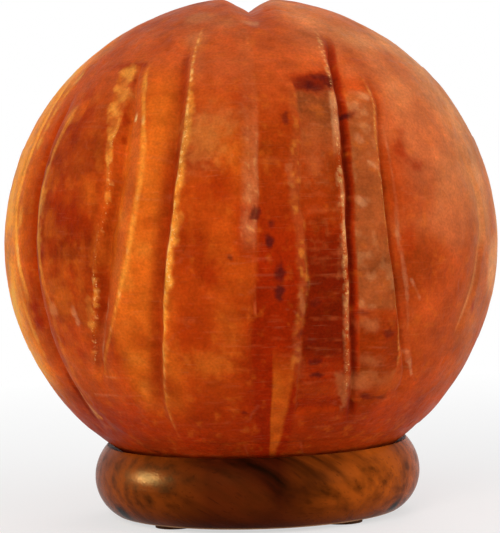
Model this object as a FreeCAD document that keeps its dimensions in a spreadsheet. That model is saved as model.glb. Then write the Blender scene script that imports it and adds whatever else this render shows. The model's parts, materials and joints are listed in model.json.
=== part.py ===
import FreeCAD, Part
import math
import os

import Sketcher

# Salt crystal lamp: a carved ball of rock salt on a turned wooden base, with a lampholder and a
# small bulb pushed into the ball's bore from below. Millimetres, +Z up, front towards -Y, and the
# origin at the middle of the underside. Angles are in degrees.

SIZES = {
    # wooden base
    "base_radius": 50.0,
    "base_height": 22.3,
    "widest_height": 12.5,
    "foot_radius": 44.0,
    "rim_land": 0.2,
    "seat_depth": 3.4,
    "rim_gap": 0.6,
    "base_bore_radius": 22.0,
    "channel_width": 9.0,
    "channel_depth": 7.0,
    "pad_radius": 6.0,
    "pad_thickness": 1.5,
    "pad_circle_radius": 35.0,
    # screws that hold the ball to the base
    "fixing_circle_radius": 31.0,
    "fixing_screw_radius": 2.0,
    "fixing_screw_length": 28.0,
    "fixing_head_radius": 4.0,
    "fixing_head_height": 2.4,
    "fixing_head_recess": 0.6,
    "fixing_clearance": 0.2,
    "pilot_fit": 0.05,
    "pilot_spare": 1.0,
    # ball of salt
    "ball_radius": 75.5,
    "flat_radius": 40.0,
    "bore_radius": 20.0,
    "bore_depth": 98.0,
    "bore_corner": 8.0,
    # bracket and spring clips
    "bracket_rise": 8.1,
    "bracket_thickness": 1.0,
    "bracket_half_length": 11.2,
    "bracket_half_width": 6.0,
    "ear_thickness": 0.8,
    "ear_length": 5.6,
    "ear_overlap": 3.2,
    "pivot_reach": 12.5,
    "pivot_drop": 3.2,
    "rivet_radius": 1.0,
    "rivet_head_radius": 1.8,
    "rivet_head_height": 0.8,
    "rivet_fit": 0.03,
    "clip_fit": 0.06,
    "clip_wire_radius": 0.6,
    "clip_coil_radius": 2.3,
    "clip_coil_gap": 0.6,
    "clip_length": 16.0,
    "clip_half_width": 3.8,
    "clip_wall_gap": 0.3,
    # hollow nipple, nut and washer
    "nipple_radius": 5.0,
    "nipple_bore_radius": 3.3,
    "nipple_length": 14.5,
    "nipple_rise": 3.5,
    "thread_fit": 0.05,
    "washer_radius": 8.5,
    "washer_thickness": 0.6,
    "nut_across_flats": 14.0,
    "nut_thickness": 3.2,
    # lampholder case
    "case_radius": 11.5,
    "cup_floor": 3.0,
    "cup_ledge_height": 4.0,
    "cup_ledge_width": 1.5,
    "cup_wall": 1.5,
    "cup_height": 17.0,
    "cup_edge": 1.0,
    "spigot_height": 4.0,
    "spigot_wall": 0.6,
    "sleeve_gap": 0.95,
    "sleeve_height": 20.5,
    "sleeve_top_round": 1.0,
    "case_fit": 0.05,
    # lampholder core
    "block_fit": 0.1,
    "block_height": 10.0,
    "shell_radius": 7.55,
    "shell_wall": 0.4,
    "shell_height": 19.0,
    "shell_lip": 1.5,
    "strap_width": 3.0,
    "strap_thickness": 0.5,
    "strap_length": 5.0,
    "terminal_gap": 0.6,
    "terminal_radius": 1.5,
    "terminal_length": 7.0,
    "terminal_spare": 0.5,
    "terminal_head_radius": 2.4,
    "terminal_head_height": 2.0,
    "tongue_width": 4.0,
    "tongue_thickness": 0.4,
    "tongue_root": 5.0,
    "tongue_foot": 1.8,
    "tongue_tip": 2.2,
    "tongue_rise": 2.0,
    "tongue_gap": 0.3,
    # bulb
    "bulb_length": 57.0,
    "bulb_radius": 12.5,
    "flare_height": 30.0,
    "bulb_gap": 0.3,
    "cap_radius": 6.85,
    "cap_wall": 0.35,
    "cap_lip": 0.85,
    "cap_start": 3.3,
    "cap_height": 15.5,
    "pip_radius": 2.4,
    "pip_height": 1.0,
    "insulator_top_radius": 6.2,
    "insulator_foot_radius": 3.6,
    "glass_wall": 0.7,
    "glass_clearance": 0.3,
    "neck_start": 11.5,
    "neck_height": 8.0,
    "stem_start": 8.0,
    "stem_radius": 4.9,
    "stem_tip_radius": 2.2,
    "stem_height": 18.0,
    "stem_foot_height": 5.0,
    "lead_radius": 0.35,
    "lead_foot_reach": 1.3,
    "lead_reach": 5.2,
    "lead_height": 14.0,
    "filament_radius": 0.5,
}

# Grooves cut by hand with a round cutter that is held in one plane. Turn and lean give the
# direction square to that plane, offset its distance from the ball's centre, depth the deepest
# bite, left and right how far the groove's two sides run, middle the latitude of the deepest
# bite, and reach how many degrees the groove runs to each side of it.
GROOVE_WORDS = ("turn", "lean", "offset", "depth", "left", "right", "middle", "reach")
GROOVES = {
    "crown": (4.0, 0.0, 0.5, 5.0, 9.5, 9.5, 86.0, 34.0),
    "front_middle": (9.4, -4.5, -10.3, 2.6, 2.5, 11.0, 14.0, 58.0),
    "front_left": (-5.0, -6.0, -18.2, 3.2, 9.0, 2.5, 4.0, 52.0),
    "front_far_left": (-3.0, -9.0, -36.1, 3.4, 3.0, 8.5, 8.0, 42.0),
    "left_side": (-59.0, 1.4, 2.0, 3.0, 9.0, 3.5, -2.0, 50.0),
    "front_right": (5.9, 1.2, 20.7, 3.2, 2.5, 12.0, 5.0, 50.0),
    "front_far_right": (-2.5, 4.7, 42.1, 2.8, 2.5, 9.0, -2.0, 38.0),
    "right_side": (62.0, 3.0, 1.0, 2.6, 3.5, 9.0, 0.0, 44.0),
    "back_middle": (186.0, 4.0, 3.0, 2.8, 11.0, 2.5, 10.0, 56.0),
    "back_left": (176.0, -3.0, -24.0, 3.2, 12.0, 3.0, 2.0, 50.0),
    "back_far_left": (182.0, -5.0, -43.0, 3.0, 9.0, 3.0, 4.0, 38.0),
    "back_right": (183.0, 2.0, 26.0, 3.2, 3.0, 12.0, -2.0, 52.0),
    "back_far_right": (178.0, 5.0, 44.0, 2.8, 2.5, 9.0, 4.0, 38.0),
    "far_left_side": (-98.0, -2.0, 0.0, 2.8, 8.0, 4.0, 4.0, 48.0),
    "far_right_side": (100.0, 2.0, 0.0, 2.8, 4.0, 8.0, -4.0, 48.0),
}

FIXING_COUNT = 3
FIXING_SPREAD = 180.0  # the fourth quarter holds the cord channel
PAD_COUNT = 4

FULL_TURN = 360.0
OUTER_MARGIN = 6.0  # how far a cutting profile stands outside the surface that it cuts
SIDE_STRETCH = 1.25  # a groove's sides run on past the ball's surface by this factor

# A sketch numbers the points of a side from 1, and names its origin as a side and a point.
START, END, CENTRE = range(1, 4)
ORIGIN = (-1, START)
ACROSS = "DistanceX"
UP = "DistanceY"
AXIS_FOR_ZERO = {ACROSS: -2, UP: -1}


class Size:
    """A number together with the sheet formula that gives it."""

    def __init__(self, text, number):
        self.text = text
        self.number = number

    def __add__(self, other):
        other = size_of(other)
        return Size(f"({self.text} + {other.text})", self.number + other.number)

    def __sub__(self, other):
        other = size_of(other)
        return Size(f"({self.text} - {other.text})", self.number - other.number)

    def __mul__(self, other):
        other = size_of(other)
        return Size(f"({self.text} * {other.text})", self.number * other.number)

    def __truediv__(self, other):
        other = size_of(other)
        return Size(f"({self.text} / {other.text})", self.number / other.number)

    def __neg__(self):
        return Size(f"(0 - {self.text})", -self.number)

    __radd__ = __add__
    __rmul__ = __mul__


def size_of(value):
    return value if isinstance(value, Size) else Size(f"({value!r})", float(value))


def root(value):
    return Size(f"sqrt({value.text})", math.sqrt(value.number))


def cosine(angle):
    return Size(f"cos({angle.text})", math.cos(math.radians(angle.number)))


def sine(angle):
    return Size(f"sin({angle.text})", math.sin(math.radians(angle.number)))


def arc_tangent(value):
    return Size(f"(atan({value.text}) / 1 deg)", math.degrees(math.atan(value.number)))


def leg(longest, other):
    """The third side of a right-angled triangle."""
    return root(longest * longest - other * other)


class Sizes:
    """The sheet's values by name, each as a Size."""

    def __init__(self, doc, values):
        sheet = doc.addObject("Spreadsheet::Sheet", "Sizes")
        for row, (name, value) in enumerate(values.items(), start=1):
            sheet.set(f"A{row}", name)
            sheet.set(f"B{row}", str(value))
            sheet.setAlias(f"B{row}", name)
            setattr(self, name, Size(f"Sizes.{name}", float(value)))

    def groove(self, name):
        return [getattr(self, f"{name}_{word}") for word in GROOVE_WORDS]


def vector(x, y, z=0.0):
    return FreeCAD.Vector(float(x), float(y), float(z))


def new_body(doc, name):
    body = doc.addObject("PartDesign::Body", name)
    body.Label = name
    body.AllowCompound = True
    return body


def new_sketch(body, name, role, shift=(0, 0, 0), turn=0, roll=0):
    """A sketch on one of the body's own planes, shifted and turned in that plane's frame."""
    sketch = body.newObject("Sketcher::SketchObject", name)
    plane = next(face for face in body.Origin.OriginFeatures if face.Role == role)
    sketch.AttachmentSupport = (plane, [""])
    sketch.MapMode = "FlatFace"
    shift = [size_of(value).text for value in shift]
    turns = f"rotation({size_of(turn).text}; 0; {size_of(roll).text})"
    sketch.setExpression("AttachmentOffset", f"placement(vector({'; '.join(shift)}); {turns})")
    return sketch


def fix(sketch, kind, side, point, value):
    """Holds one coordinate of a side's point at its sheet value."""
    value = size_of(value)
    if value.number == 0:
        axis = AXIS_FOR_ZERO[kind]
        sketch.addConstraint(Sketcher.Constraint("PointOnObject", side, point, axis))
        return
    rule = Sketcher.Constraint(kind, *ORIGIN, side, point, value.number)
    index = sketch.addConstraint(rule)
    sketch.setExpression(f"Constraints[{index}]", value.text)


def fix_point(sketch, side, point, x, y):
    fix(sketch, ACROSS, side, point, x)
    fix(sketch, UP, side, point, y)


def arc_between(start, end, centre):
    """The shorter arc from start to end. It also tells whether it runs anticlockwise."""
    first = math.atan2(start[1] - centre[1], start[0] - centre[0])
    last = math.atan2(end[1] - centre[1], end[0] - centre[0])
    anticlockwise = (last - first) % (2 * math.pi) < math.pi
    if not anticlockwise:
        first, last = last, first
    circle = Part.Circle(vector(*centre), vector(0, 0, 1), math.dist(start, centre))
    return Part.ArcOfCircle(circle, first, last), anticlockwise


def draw(sketch, corners):
    """A closed outline. A corner is (x, y), or (x, y, centre) where a round side leaves it."""
    places = [[size_of(value).number for value in corner[:2]] for corner in corners]
    ends = []
    for number, corner in enumerate(corners):
        start, end = places[number], places[(number + 1) % len(corners)]
        forward = True
        if len(corner) == 3:
            middle = [size_of(value).number for value in corner[2]]
            side, forward = arc_between(start, end, middle)
        else:
            side = Part.LineSegment(vector(*start), vector(*end))
        sketch.addGeometry(side)
        ends.append((START, END) if forward else (END, START))
    for number, corner in enumerate(corners):
        following = (number + 1) % len(corners)
        sketch.addConstraint(Sketcher.Constraint(
            "Coincident", number, ends[number][1], following, ends[following][0]))
        fix_point(sketch, number, ends[number][0], corner[0], corner[1])
        if len(corner) == 3:
            start, end = places[number], places[following]
            if abs(end[1] - start[1]) > abs(end[0] - start[0]):
                fix(sketch, ACROSS, number, CENTRE, corner[2][0])
            else:
                fix(sketch, UP, number, CENTRE, corner[2][1])


def draw_circle(sketch, x, y, radius):
    radius = size_of(radius)
    centre = vector(size_of(x).number, size_of(y).number)
    side = sketch.addGeometry(Part.Circle(centre, vector(0, 0, 1), radius.number))
    fix_point(sketch, side, CENTRE, x, y)
    index = sketch.addConstraint(Sketcher.Constraint("Radius", side, radius.number))
    sketch.setExpression(f"Constraints[{index}]", radius.text)


def revolve(body, name, corners, kind="Revolution", place=0):
    """Turns (radius, height) corners about the lamp's axis, or about one at this place in X."""
    sketch = new_sketch(body, name + "_outline", "XZ_Plane", (place, 0, 0))
    draw(sketch, corners)
    feature = body.newObject("PartDesign::" + kind, name)
    feature.Profile = sketch
    feature.ReferenceAxis = (sketch, ["V_Axis"])
    feature.Angle = FULL_TURN
    return feature


def extrude(body, name, sketch, length, kind="Pad", both_ways=False, backward=False):
    """A pad along the sketch's normal or a pocket against it, and backward the other way."""
    feature = body.newObject("PartDesign::" + kind, name)
    feature.Profile = sketch
    feature.Midplane = both_ways
    feature.Reversed = backward
    feature.setExpression("Length", size_of(length).text)
    return feature


def rectangle(low_x, low_y, high_x, high_y):
    return [(low_x, low_y), (high_x, low_y), (high_x, high_y), (low_x, high_y)]


def repeat_round(body, name, features, count, spread=FULL_TURN):
    """Repeats features round the lamp's axis and makes the pattern the body's result."""
    pattern = body.newObject("PartDesign::PolarPattern", name)
    pattern.Originals = features
    axis = next(line for line in body.Origin.OriginFeatures if line.Role == "Z_Axis")
    pattern.Axis = (axis, [""])
    pattern.Angle = spread
    pattern.Occurrences = count
    body.Tip = pattern
    return pattern


def tube(body, name, inner, outer, low, high, kind="Revolution"):
    return revolve(body, name, rectangle(inner, low, outer, high), kind)


def seat_height(size):
    return size.base_height - size.seat_depth


def ball_height(size):
    return seat_height(size) + leg(size.ball_radius, size.flat_radius)


def make_wood_base(doc, size):
    body = new_body(doc, "wood_base")
    bottom = size.pad_thickness
    seat = seat_height(size)
    centre = ball_height(size)
    dish_radius = size.ball_radius + size.rim_gap
    dish_floor_radius = leg(dish_radius, centre - seat)
    dish_rim_radius = leg(dish_radius, centre - size.base_height)
    rim_radius = dish_rim_radius + size.rim_land

    def bulge(corner_radius, corner_height):
        """Radius of the arc that is upright at the widest height and ends at a corner."""
        inward = size.base_radius - corner_radius
        rise = corner_height - size.widest_height
        return (inward * inward + rise * rise) / (inward * 2)

    lower = (size.base_radius - bulge(size.foot_radius, bottom), size.widest_height)
    upper = (size.base_radius - bulge(rim_radius, size.base_height), size.widest_height)
    revolve(body, "turned_blank", [
        (size.base_bore_radius, bottom),
        (size.foot_radius, bottom, lower),
        (size.base_radius, size.widest_height, upper),
        (rim_radius, size.base_height),
        (dish_rim_radius, size.base_height, (size_of(0), centre)),
        (dish_floor_radius, seat),
        (size.base_bore_radius, seat),
    ])
    sketch = new_sketch(body, "channel_outline", "XY_Plane", (0, 0, bottom))
    draw(sketch, rectangle(-size.channel_width / 2, 0, size.channel_width / 2,
                           size.base_radius + OUTER_MARGIN))
    extrude(body, "cord_channel", sketch, size.channel_depth, "Pocket", backward=True)

    hole = countersunk_outline(size, size.fixing_clearance, bottom - OUTER_MARGIN,
                               seat + OUTER_MARGIN)
    hole = revolve(body, "screw_hole", hole, "Groove", -size.fixing_circle_radius)
    repeat_round(body, "screw_holes", [hole], FIXING_COUNT, FIXING_SPREAD)
    return body


def countersunk_outline(size, clearance, low, high):
    """Half the outline of a fixing screw, or of the hole that holds it with a clearance."""
    shank = size.fixing_screw_radius + clearance
    head = size.fixing_head_radius + clearance
    cone_foot = size.pad_thickness + size.fixing_head_recess
    cone_top = cone_foot + size.fixing_head_height
    return [(0, low), (head, low), (head, cone_foot), (shank, cone_top), (shank, high), (0, high)]


def fixing_screw_top(size):
    return size.pad_thickness + size.fixing_head_recess + size.fixing_screw_length


def make_fixing_screws(doc, size):
    body = new_body(doc, "salt_fixing_screws")
    low = size.pad_thickness + size.fixing_head_recess / 2
    screw = countersunk_outline(size, size_of(0), low, fixing_screw_top(size))
    screw = revolve(body, "screw", screw, place=-size.fixing_circle_radius)
    repeat_round(body, "screws", [screw], FIXING_COUNT, FIXING_SPREAD)
    return body


def make_foot_pads(doc, size):
    body = new_body(doc, "foot_pads")
    sketch = new_sketch(body, "pad_outline", "XY_Plane")
    across = size.pad_circle_radius / math.sqrt(2)
    draw_circle(sketch, across, across, size.pad_radius)
    pad = extrude(body, "pad", sketch, size.pad_thickness)
    repeat_round(body, "pads", [pad], PAD_COUNT)
    return body


def cut_groove(body, name, size):
    """One upright groove: a two-sided wedge that follows the cutter's circle."""
    turn, lean, offset, depth, left, right, middle, reach = size.groove(name)
    section = leg(size.ball_radius, offset)
    bottom = section - depth
    shift = (section * section - bottom * bottom) / ((bottom - section * cosine(reach)) * 2)
    cutter = bottom + shift
    along = (sine(turn), -cosine(turn), size_of(0))
    upward = (-cosine(turn) * sine(lean), -sine(turn) * sine(lean), cosine(lean))
    square = (cosine(turn) * cosine(lean), sine(turn) * cosine(lean), sine(lean))
    centre = [offset * n - shift * (cosine(middle) * u + sine(middle) * w)
              for n, u, w in zip(square, along, upward)]
    centre[2] = centre[2] + ball_height(size)
    sketch = new_sketch(body, name + "_outline", "XY_Plane", centre, turn - 90, lean)

    def side_end(width):
        surface = shift + leg(size.ball_radius, offset + width)
        return (cutter + (surface - cutter) * SIDE_STRETCH, width * SIDE_STRETCH)

    outside = shift + size.ball_radius + OUTER_MARGIN
    left_end = side_end(-left)
    right_end = side_end(right)
    draw(sketch, [(cutter, 0), left_end, (outside, left_end[1]), (outside, right_end[1]), right_end])
    groove = body.newObject("PartDesign::Groove", name)
    groove.Profile = sketch
    groove.ReferenceAxis = (sketch, ["V_Axis"])
    groove.Angle = FULL_TURN


def make_salt_crystal(doc, size):
    body = new_body(doc, "salt_crystal")
    seat = seat_height(size)
    centre = ball_height(size)
    bore_top = seat + size.bore_depth
    corner = size.bore_radius - size.bore_corner
    revolve(body, "ball", [
        (size.bore_radius, seat),
        (size.flat_radius, seat, (size_of(0), centre)),
        (size.ball_radius, centre, (size_of(0), centre)),
        (0, centre + size.ball_radius),
        (0, bore_top),
        (corner, bore_top, (corner, bore_top - size.bore_corner)),
        (size.bore_radius, bore_top - size.bore_corner),
    ])
    for name in GROOVES:
        cut_groove(body, name, size)

    sketch = new_sketch(body, "pilot_outline", "XY_Plane", (0, 0, seat))
    draw_circle(sketch, -size.fixing_circle_radius, 0, size.fixing_screw_radius + size.pilot_fit)
    pilot_depth = fixing_screw_top(size) - seat + size.pilot_spare
    pilot = extrude(body, "pilot_hole", sketch, pilot_depth, "Pocket", backward=True)
    repeat_round(body, "pilot_holes", [pilot], FIXING_COUNT, FIXING_SPREAD)
    return body


def plate_top(size):
    return seat_height(size) + size.bracket_rise


def plate_underside(size):
    return plate_top(size) - size.bracket_thickness


def pivot_height(size):
    return plate_underside(size) - size.pivot_drop


def make_mounting_bracket(doc, size):
    body = new_body(doc, "mounting_bracket")
    under = plate_underside(size)
    pivot = pivot_height(size)
    inner = size.bracket_half_width - size.ear_thickness
    sketch = new_sketch(body, "plate_outline", "XY_Plane", (0, 0, under))
    draw(sketch, rectangle(-size.bracket_half_length, -size.bracket_half_width,
                           size.bracket_half_length, size.bracket_half_width))
    draw_circle(sketch, 0, 0, size.nipple_radius + size.thread_fit)
    extrude(body, "plate", sketch, size.bracket_thickness)
    ear_half = size.ear_length / 2
    for side, word in ((1, "right"), (-1, "left")):
        sketch = new_sketch(body, f"{word}_ear_outline", "XZ_Plane")
        inward = (size.bracket_half_length - size.ear_overlap) * side
        near = (size.pivot_reach - ear_half) * side
        far = (size.pivot_reach + ear_half) * side
        draw(sketch, [
            (inward, plate_top(size)),
            (inward, under),
            (near, under),
            (near, pivot, (size.pivot_reach * side, pivot)),
            (size.pivot_reach * side, pivot - ear_half, (size.pivot_reach * side, pivot)),
            (far, pivot),
            (far, plate_top(size)),
        ])
        draw_circle(sketch, size.pivot_reach * side, pivot, size.rivet_radius + size.rivet_fit)
        extrude(body, f"{word}_ears", sketch, size.bracket_half_width * 2, both_ways=True)
        sketch = new_sketch(body, f"{word}_slot_outline", "XZ_Plane")
        draw(sketch, rectangle(size.bracket_half_length * side, pivot - size.ear_length,
                               far + OUTER_MARGIN * side, plate_top(size) + OUTER_MARGIN))
        extrude(body, f"{word}_slot", sketch, inner * 2, "Pocket", both_ways=True)
        sketch = new_sketch(body, f"{word}_gap_outline", "XZ_Plane")
        draw(sketch, rectangle(near - OUTER_MARGIN * side, pivot - size.ear_length,
                               far + OUTER_MARGIN * side, under))
        extrude(body, f"{word}_gap", sketch, inner * 2, "Pocket", both_ways=True)
    return body


def make_clip_rivets(doc, size):
    body = new_body(doc, "clip_rivets")
    for side, word in ((1, "right"), (-1, "left")):
        place = (size.pivot_reach * side, pivot_height(size))
        sketch = new_sketch(body, f"{word}_pin_outline", "XZ_Plane")
        draw_circle(sketch, *place, size.rivet_radius)
        extrude(body, f"{word}_pin", sketch, size.bracket_half_width * 2, both_ways=True)
        for end, end_word in ((1, "front"), (-1, "back")):
            shift = (0, 0, size.bracket_half_width * end)
            sketch = new_sketch(body, f"{word}_{end_word}_head_outline", "XZ_Plane", shift)
            draw_circle(sketch, *place, size.rivet_head_radius)
            extrude(body, f"{word}_{end_word}_head", sketch, size.rivet_head_height,
                    backward=end < 0)
    return body


def clip_tilt(size):
    """How far a clip leans out from upright so that its tip stops short of the bore's wall."""
    stand_off = size.clip_coil_radius - size.clip_wire_radius
    reach = size.bore_radius - size.clip_wall_gap - size.clip_wire_radius - size.pivot_reach
    diagonal = root(size.clip_length * size.clip_length + stand_off * stand_off)
    return arc_tangent(reach / leg(diagonal, reach)) - arc_tangent(stand_off / size.clip_length)


def draw_loop(sketch, half, bend):
    """Up one leg, over a half circle and down the other leg."""
    foot, top = vector(-half.number, 0), vector(-half.number, bend.number)
    other_top, other_foot = vector(half.number, bend.number), vector(half.number, 0)
    circle = Part.Circle(vector(0, bend.number), vector(0, 0, 1), half.number)
    sketch.addGeometry(Part.LineSegment(foot, top))
    sketch.addGeometry(Part.ArcOfCircle(circle, 0, math.pi))
    sketch.addGeometry(Part.LineSegment(other_top, other_foot))
    left, bow, right = range(3)
    sketch.addConstraint(Sketcher.Constraint("Coincident", left, END, bow, END))
    sketch.addConstraint(Sketcher.Constraint("Coincident", bow, START, right, START))
    fix_point(sketch, left, START, -half, 0)
    fix_point(sketch, left, END, -half, bend)
    fix_point(sketch, right, START, half, bend)
    fix_point(sketch, right, END, half, 0)
    fix(sketch, UP, bow, CENTRE, bend)


def make_spring_clip(doc, size, name, side):
    """A wire loop on its coil, drawn upright on the pin and then leaned against the bore."""
    body = new_body(doc, name)
    inner = size.bracket_half_width - size.ear_thickness
    coil = new_sketch(body, "coil_outline", "XZ_Plane")
    draw_circle(coil, 0, 0, size.clip_coil_radius)
    draw_circle(coil, 0, 0, size.rivet_radius + size.clip_fit)
    extrude(body, "coil", coil, (inner - size.clip_coil_gap) * 2, both_ways=True)

    stand_off = size.clip_coil_radius - size.clip_wire_radius
    bend = size.clip_length - size.clip_half_width
    path = new_sketch(body, "loop_path", "YZ_Plane", (0, 0, stand_off))
    draw_loop(path, size.clip_half_width, bend)
    wire = new_sketch(body, "wire_section", "XY_Plane")
    draw_circle(wire, stand_off, -size.clip_half_width, size.clip_wire_radius)
    loop = body.newObject("PartDesign::AdditivePipe", "loop")
    loop.Profile = wire
    loop.Spine = (path, [])
    turn = 0 if side > 0 else 180
    place = f"vector({(size.pivot_reach * side).text}; 0; {pivot_height(size).text})"
    lean = f"rotation({turn}; {clip_tilt(size).text}; 0)"
    body.setExpression("Placement", f"placement({place}; {lean})")
    return body


def nipple_bottom(size):
    return plate_top(size) + size.nipple_rise - size.nipple_length


def make_threaded_nipple(doc, size):
    body = new_body(doc, "threaded_nipple")
    tube(body, "tube", size.nipple_bore_radius, size.nipple_radius, nipple_bottom(size),
         plate_top(size) + size.nipple_rise)
    return body


def make_star_washer(doc, size):
    body = new_body(doc, "star_washer")
    top = plate_underside(size)
    tube(body, "ring", size.nipple_radius + size.thread_fit, size.washer_radius,
         top - size.washer_thickness, top)
    return body


def make_lock_nut(doc, size):
    body = new_body(doc, "lock_nut")
    top = plate_underside(size) - size.washer_thickness
    sketch = new_sketch(body, "nut_outline", "XY_Plane", (0, 0, top - size.nut_thickness))
    flat = size.nut_across_flats / 2
    half_side = flat / math.sqrt(3)
    draw(sketch, [(half_side, flat), (-half_side, flat), (-half_side * 2, 0),
                  (-half_side, -flat), (half_side, -flat), (half_side * 2, 0)])
    draw_circle(sketch, 0, 0, size.nipple_radius + size.thread_fit)
    extrude(body, "nut", sketch, size.nut_thickness)
    return body


def block_bottom(size):
    return plate_top(size) + size.cup_floor + size.cup_ledge_height


def block_top(size):
    return block_bottom(size) + size.block_height


def cup_top(size):
    return plate_top(size) + size.cup_height


def make_socket_cup(doc, size):
    body = new_body(doc, "socket_cup")
    low = plate_top(size)
    floor = low + size.cup_floor
    ledge = block_bottom(size)
    inner = size.case_radius - size.cup_wall
    spigot = inner + size.spigot_wall
    revolve(body, "cup", [
        (size.nipple_radius + size.thread_fit, low),
        (size.case_radius - size.cup_edge, low),
        (size.case_radius, low + size.cup_edge),
        (size.case_radius, cup_top(size)),
        (spigot, cup_top(size)),
        (spigot, cup_top(size) + size.spigot_height),
        (inner, cup_top(size) + size.spigot_height),
        (inner, ledge),
        (inner - size.cup_ledge_width, ledge),
        (inner - size.cup_ledge_width, floor),
        (size.nipple_radius + size.thread_fit, floor),
    ])
    return body


def make_socket_sleeve(doc, size):
    body = new_body(doc, "socket_sleeve")
    low = cup_top(size)
    top = low + size.sleeve_height
    spigot = size.case_radius - size.cup_wall + size.spigot_wall + size.case_fit
    step = low + size.spigot_height + size.case_fit
    inner = size.shell_radius + size.strap_thickness + size.sleeve_gap
    bend = size.sleeve_top_round
    revolve(body, "sleeve", [
        (spigot, low),
        (size.case_radius, low),
        (size.case_radius, top - bend, (size.case_radius - bend, top - bend)),
        (size.case_radius - bend, top),
        (inner, top),
        (inner, step),
        (spigot, step),
    ])
    return body


def terminal_reach(size):
    ledge_radius = size.case_radius - size.cup_wall - size.cup_ledge_width
    return ledge_radius - size.terminal_gap - size.terminal_head_radius


def make_terminal_block(doc, size):
    body = new_body(doc, "terminal_block")
    low = block_bottom(size)
    radius = size.case_radius - size.cup_wall - size.block_fit
    revolve(body, "block", rectangle(0, low, radius, block_top(size)))
    sketch = new_sketch(body, "terminal_hole_outline", "XY_Plane", (0, 0, low))
    draw_circle(sketch, terminal_reach(size), 0, size.terminal_radius + size.thread_fit)
    hole = extrude(body, "terminal_hole", sketch, size.terminal_length + size.terminal_spare,
                   "Pocket", backward=True)
    repeat_round(body, "terminal_holes", [hole], 2)
    return body


def make_terminal_screws(doc, size):
    body = new_body(doc, "terminal_screws")
    head_top = block_bottom(size)
    sketch = new_sketch(body, "head_outline", "XY_Plane",
                        (0, 0, head_top - size.terminal_head_height))
    draw_circle(sketch, terminal_reach(size), 0, size.terminal_head_radius)
    head = extrude(body, "head", sketch, size.terminal_head_height)
    sketch = new_sketch(body, "shank_outline", "XY_Plane", (0, 0, head_top))
    draw_circle(sketch, terminal_reach(size), 0, size.terminal_radius)
    shank = extrude(body, "shank", sketch, size.terminal_length)
    repeat_round(body, "screws", [head, shank], 2)
    return body


def make_screw_shell(doc, size):
    body = new_body(doc, "screw_shell")
    low = block_top(size)
    inner = size.shell_radius - size.shell_wall
    revolve(body, "shell", [
        (size.shell_radius - size.shell_lip, low),
        (size.shell_radius, low),
        (size.shell_radius, low + size.shell_height),
        (inner, low + size.shell_height),
        (inner, low + size.shell_wall),
        (size.shell_radius - size.shell_lip, low + size.shell_wall),
    ])
    return body


def make_shell_strap(doc, size):
    """A brass strip up the outside of the shell, folded outward over the block."""
    body = new_body(doc, "shell_strap")
    low = block_top(size)
    inner = size.shell_radius
    outer = size.shell_radius + size.strap_thickness
    foot = size.case_radius - size.cup_wall - size.block_fit
    sketch = new_sketch(body, "strap_outline", "XZ_Plane")
    draw(sketch, [(inner, low), (foot, low), (foot, low + size.strap_thickness),
                  (outer, low + size.strap_thickness), (outer, low + size.strap_length),
                  (inner, low + size.strap_length)])
    extrude(body, "strap", sketch, size.strap_width, both_ways=True)
    return body


def make_contact_tongue(doc, size):
    body = new_body(doc, "contact_tongue")
    low = block_top(size) + size.tongue_gap
    thick = size.tongue_thickness
    high = low + size.tongue_rise
    root_end = -size.tongue_root
    bend = root_end + size.tongue_foot
    rounding = thick / 2
    pivot = (root_end, low + rounding)
    sketch = new_sketch(body, "strip_outline", "XZ_Plane")
    draw(sketch, [(root_end, low), (bend, low), (0, high - thick),
                  (size.tongue_tip, high - thick), (size.tongue_tip, high), (0, high),
                  (bend, low + thick), (root_end, low + thick, pivot),
                  (root_end - rounding, low + rounding, pivot)])
    extrude(body, "strip", sketch, size.tongue_width, both_ways=True)
    return body


def bulb_bottom(size):
    return block_top(size) + size.tongue_gap + size.tongue_rise + size.bulb_gap


def make_bulb_contact(doc, size):
    body = new_body(doc, "bulb_contact")
    low = bulb_bottom(size)
    rise = size.pip_height
    dome = (size.pip_radius * size.pip_radius + rise * rise) / (rise * 2)
    revolve(body, "pip", [(0, low, (size_of(0), low + dome)), (size.pip_radius, low + rise),
                          (0, low + rise)])
    return body


def cap_bottom(size):
    return bulb_bottom(size) + size.cap_start


def make_bulb_insulator(doc, size):
    body = new_body(doc, "bulb_insulator")
    low = bulb_bottom(size) + size.pip_height
    revolve(body, "cone", [(0, low), (size.insulator_foot_radius, low),
                           (size.insulator_top_radius, cap_bottom(size)), (0, cap_bottom(size))])
    return body


def make_bulb_cap(doc, size):
    body = new_body(doc, "bulb_cap")
    low = cap_bottom(size)
    high = low + size.cap_height
    outer = size.cap_radius
    lip = size.cap_radius - size.cap_lip
    revolve(body, "cap", [(lip, low), (outer, low + size.cap_lip), (outer, high),
                          (outer - size.cap_wall, high), (outer - size.cap_wall, low + size.cap_lip),
                          (lip, low + size.cap_wall)])
    return body


def flank_corners(size, inset):
    """Half of the bulb's outline from its neck to its top, moved inward by inset."""
    low = bulb_bottom(size)
    neck = size.cap_radius - size.cap_wall - size.glass_clearance - inset
    widest = size.bulb_radius - inset
    shoulder = low + size.neck_start + size.neck_height
    belly = low + size.flare_height
    dome = low + size.bulb_length - size.bulb_radius
    spread = widest - neck
    rise = belly - shoulder
    flank = (spread * spread + rise * rise) / (spread * 2)
    return [
        (neck, low + size.neck_start),
        (neck, shoulder, (widest - flank, belly)),
        (widest, belly),
        (widest, dome, (size_of(0), dome)),
        (size_of(0), dome + widest),
    ]


def backwards(corners):
    """The same open outline from its other end, with each round side kept on its stretch."""
    turned = []
    for number in range(len(corners) - 1, -1, -1):
        before = corners[number - 1] if number > 0 else ()
        turned.append(corners[number][:2] + tuple(before[2:]))
    return turned


def make_bulb_glass(doc, size):
    body = new_body(doc, "bulb_glass")
    outside = flank_corners(size, size_of(0))
    inside = flank_corners(size, size.glass_wall)
    revolve(body, "envelope", outside + backwards(inside))
    return body


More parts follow.
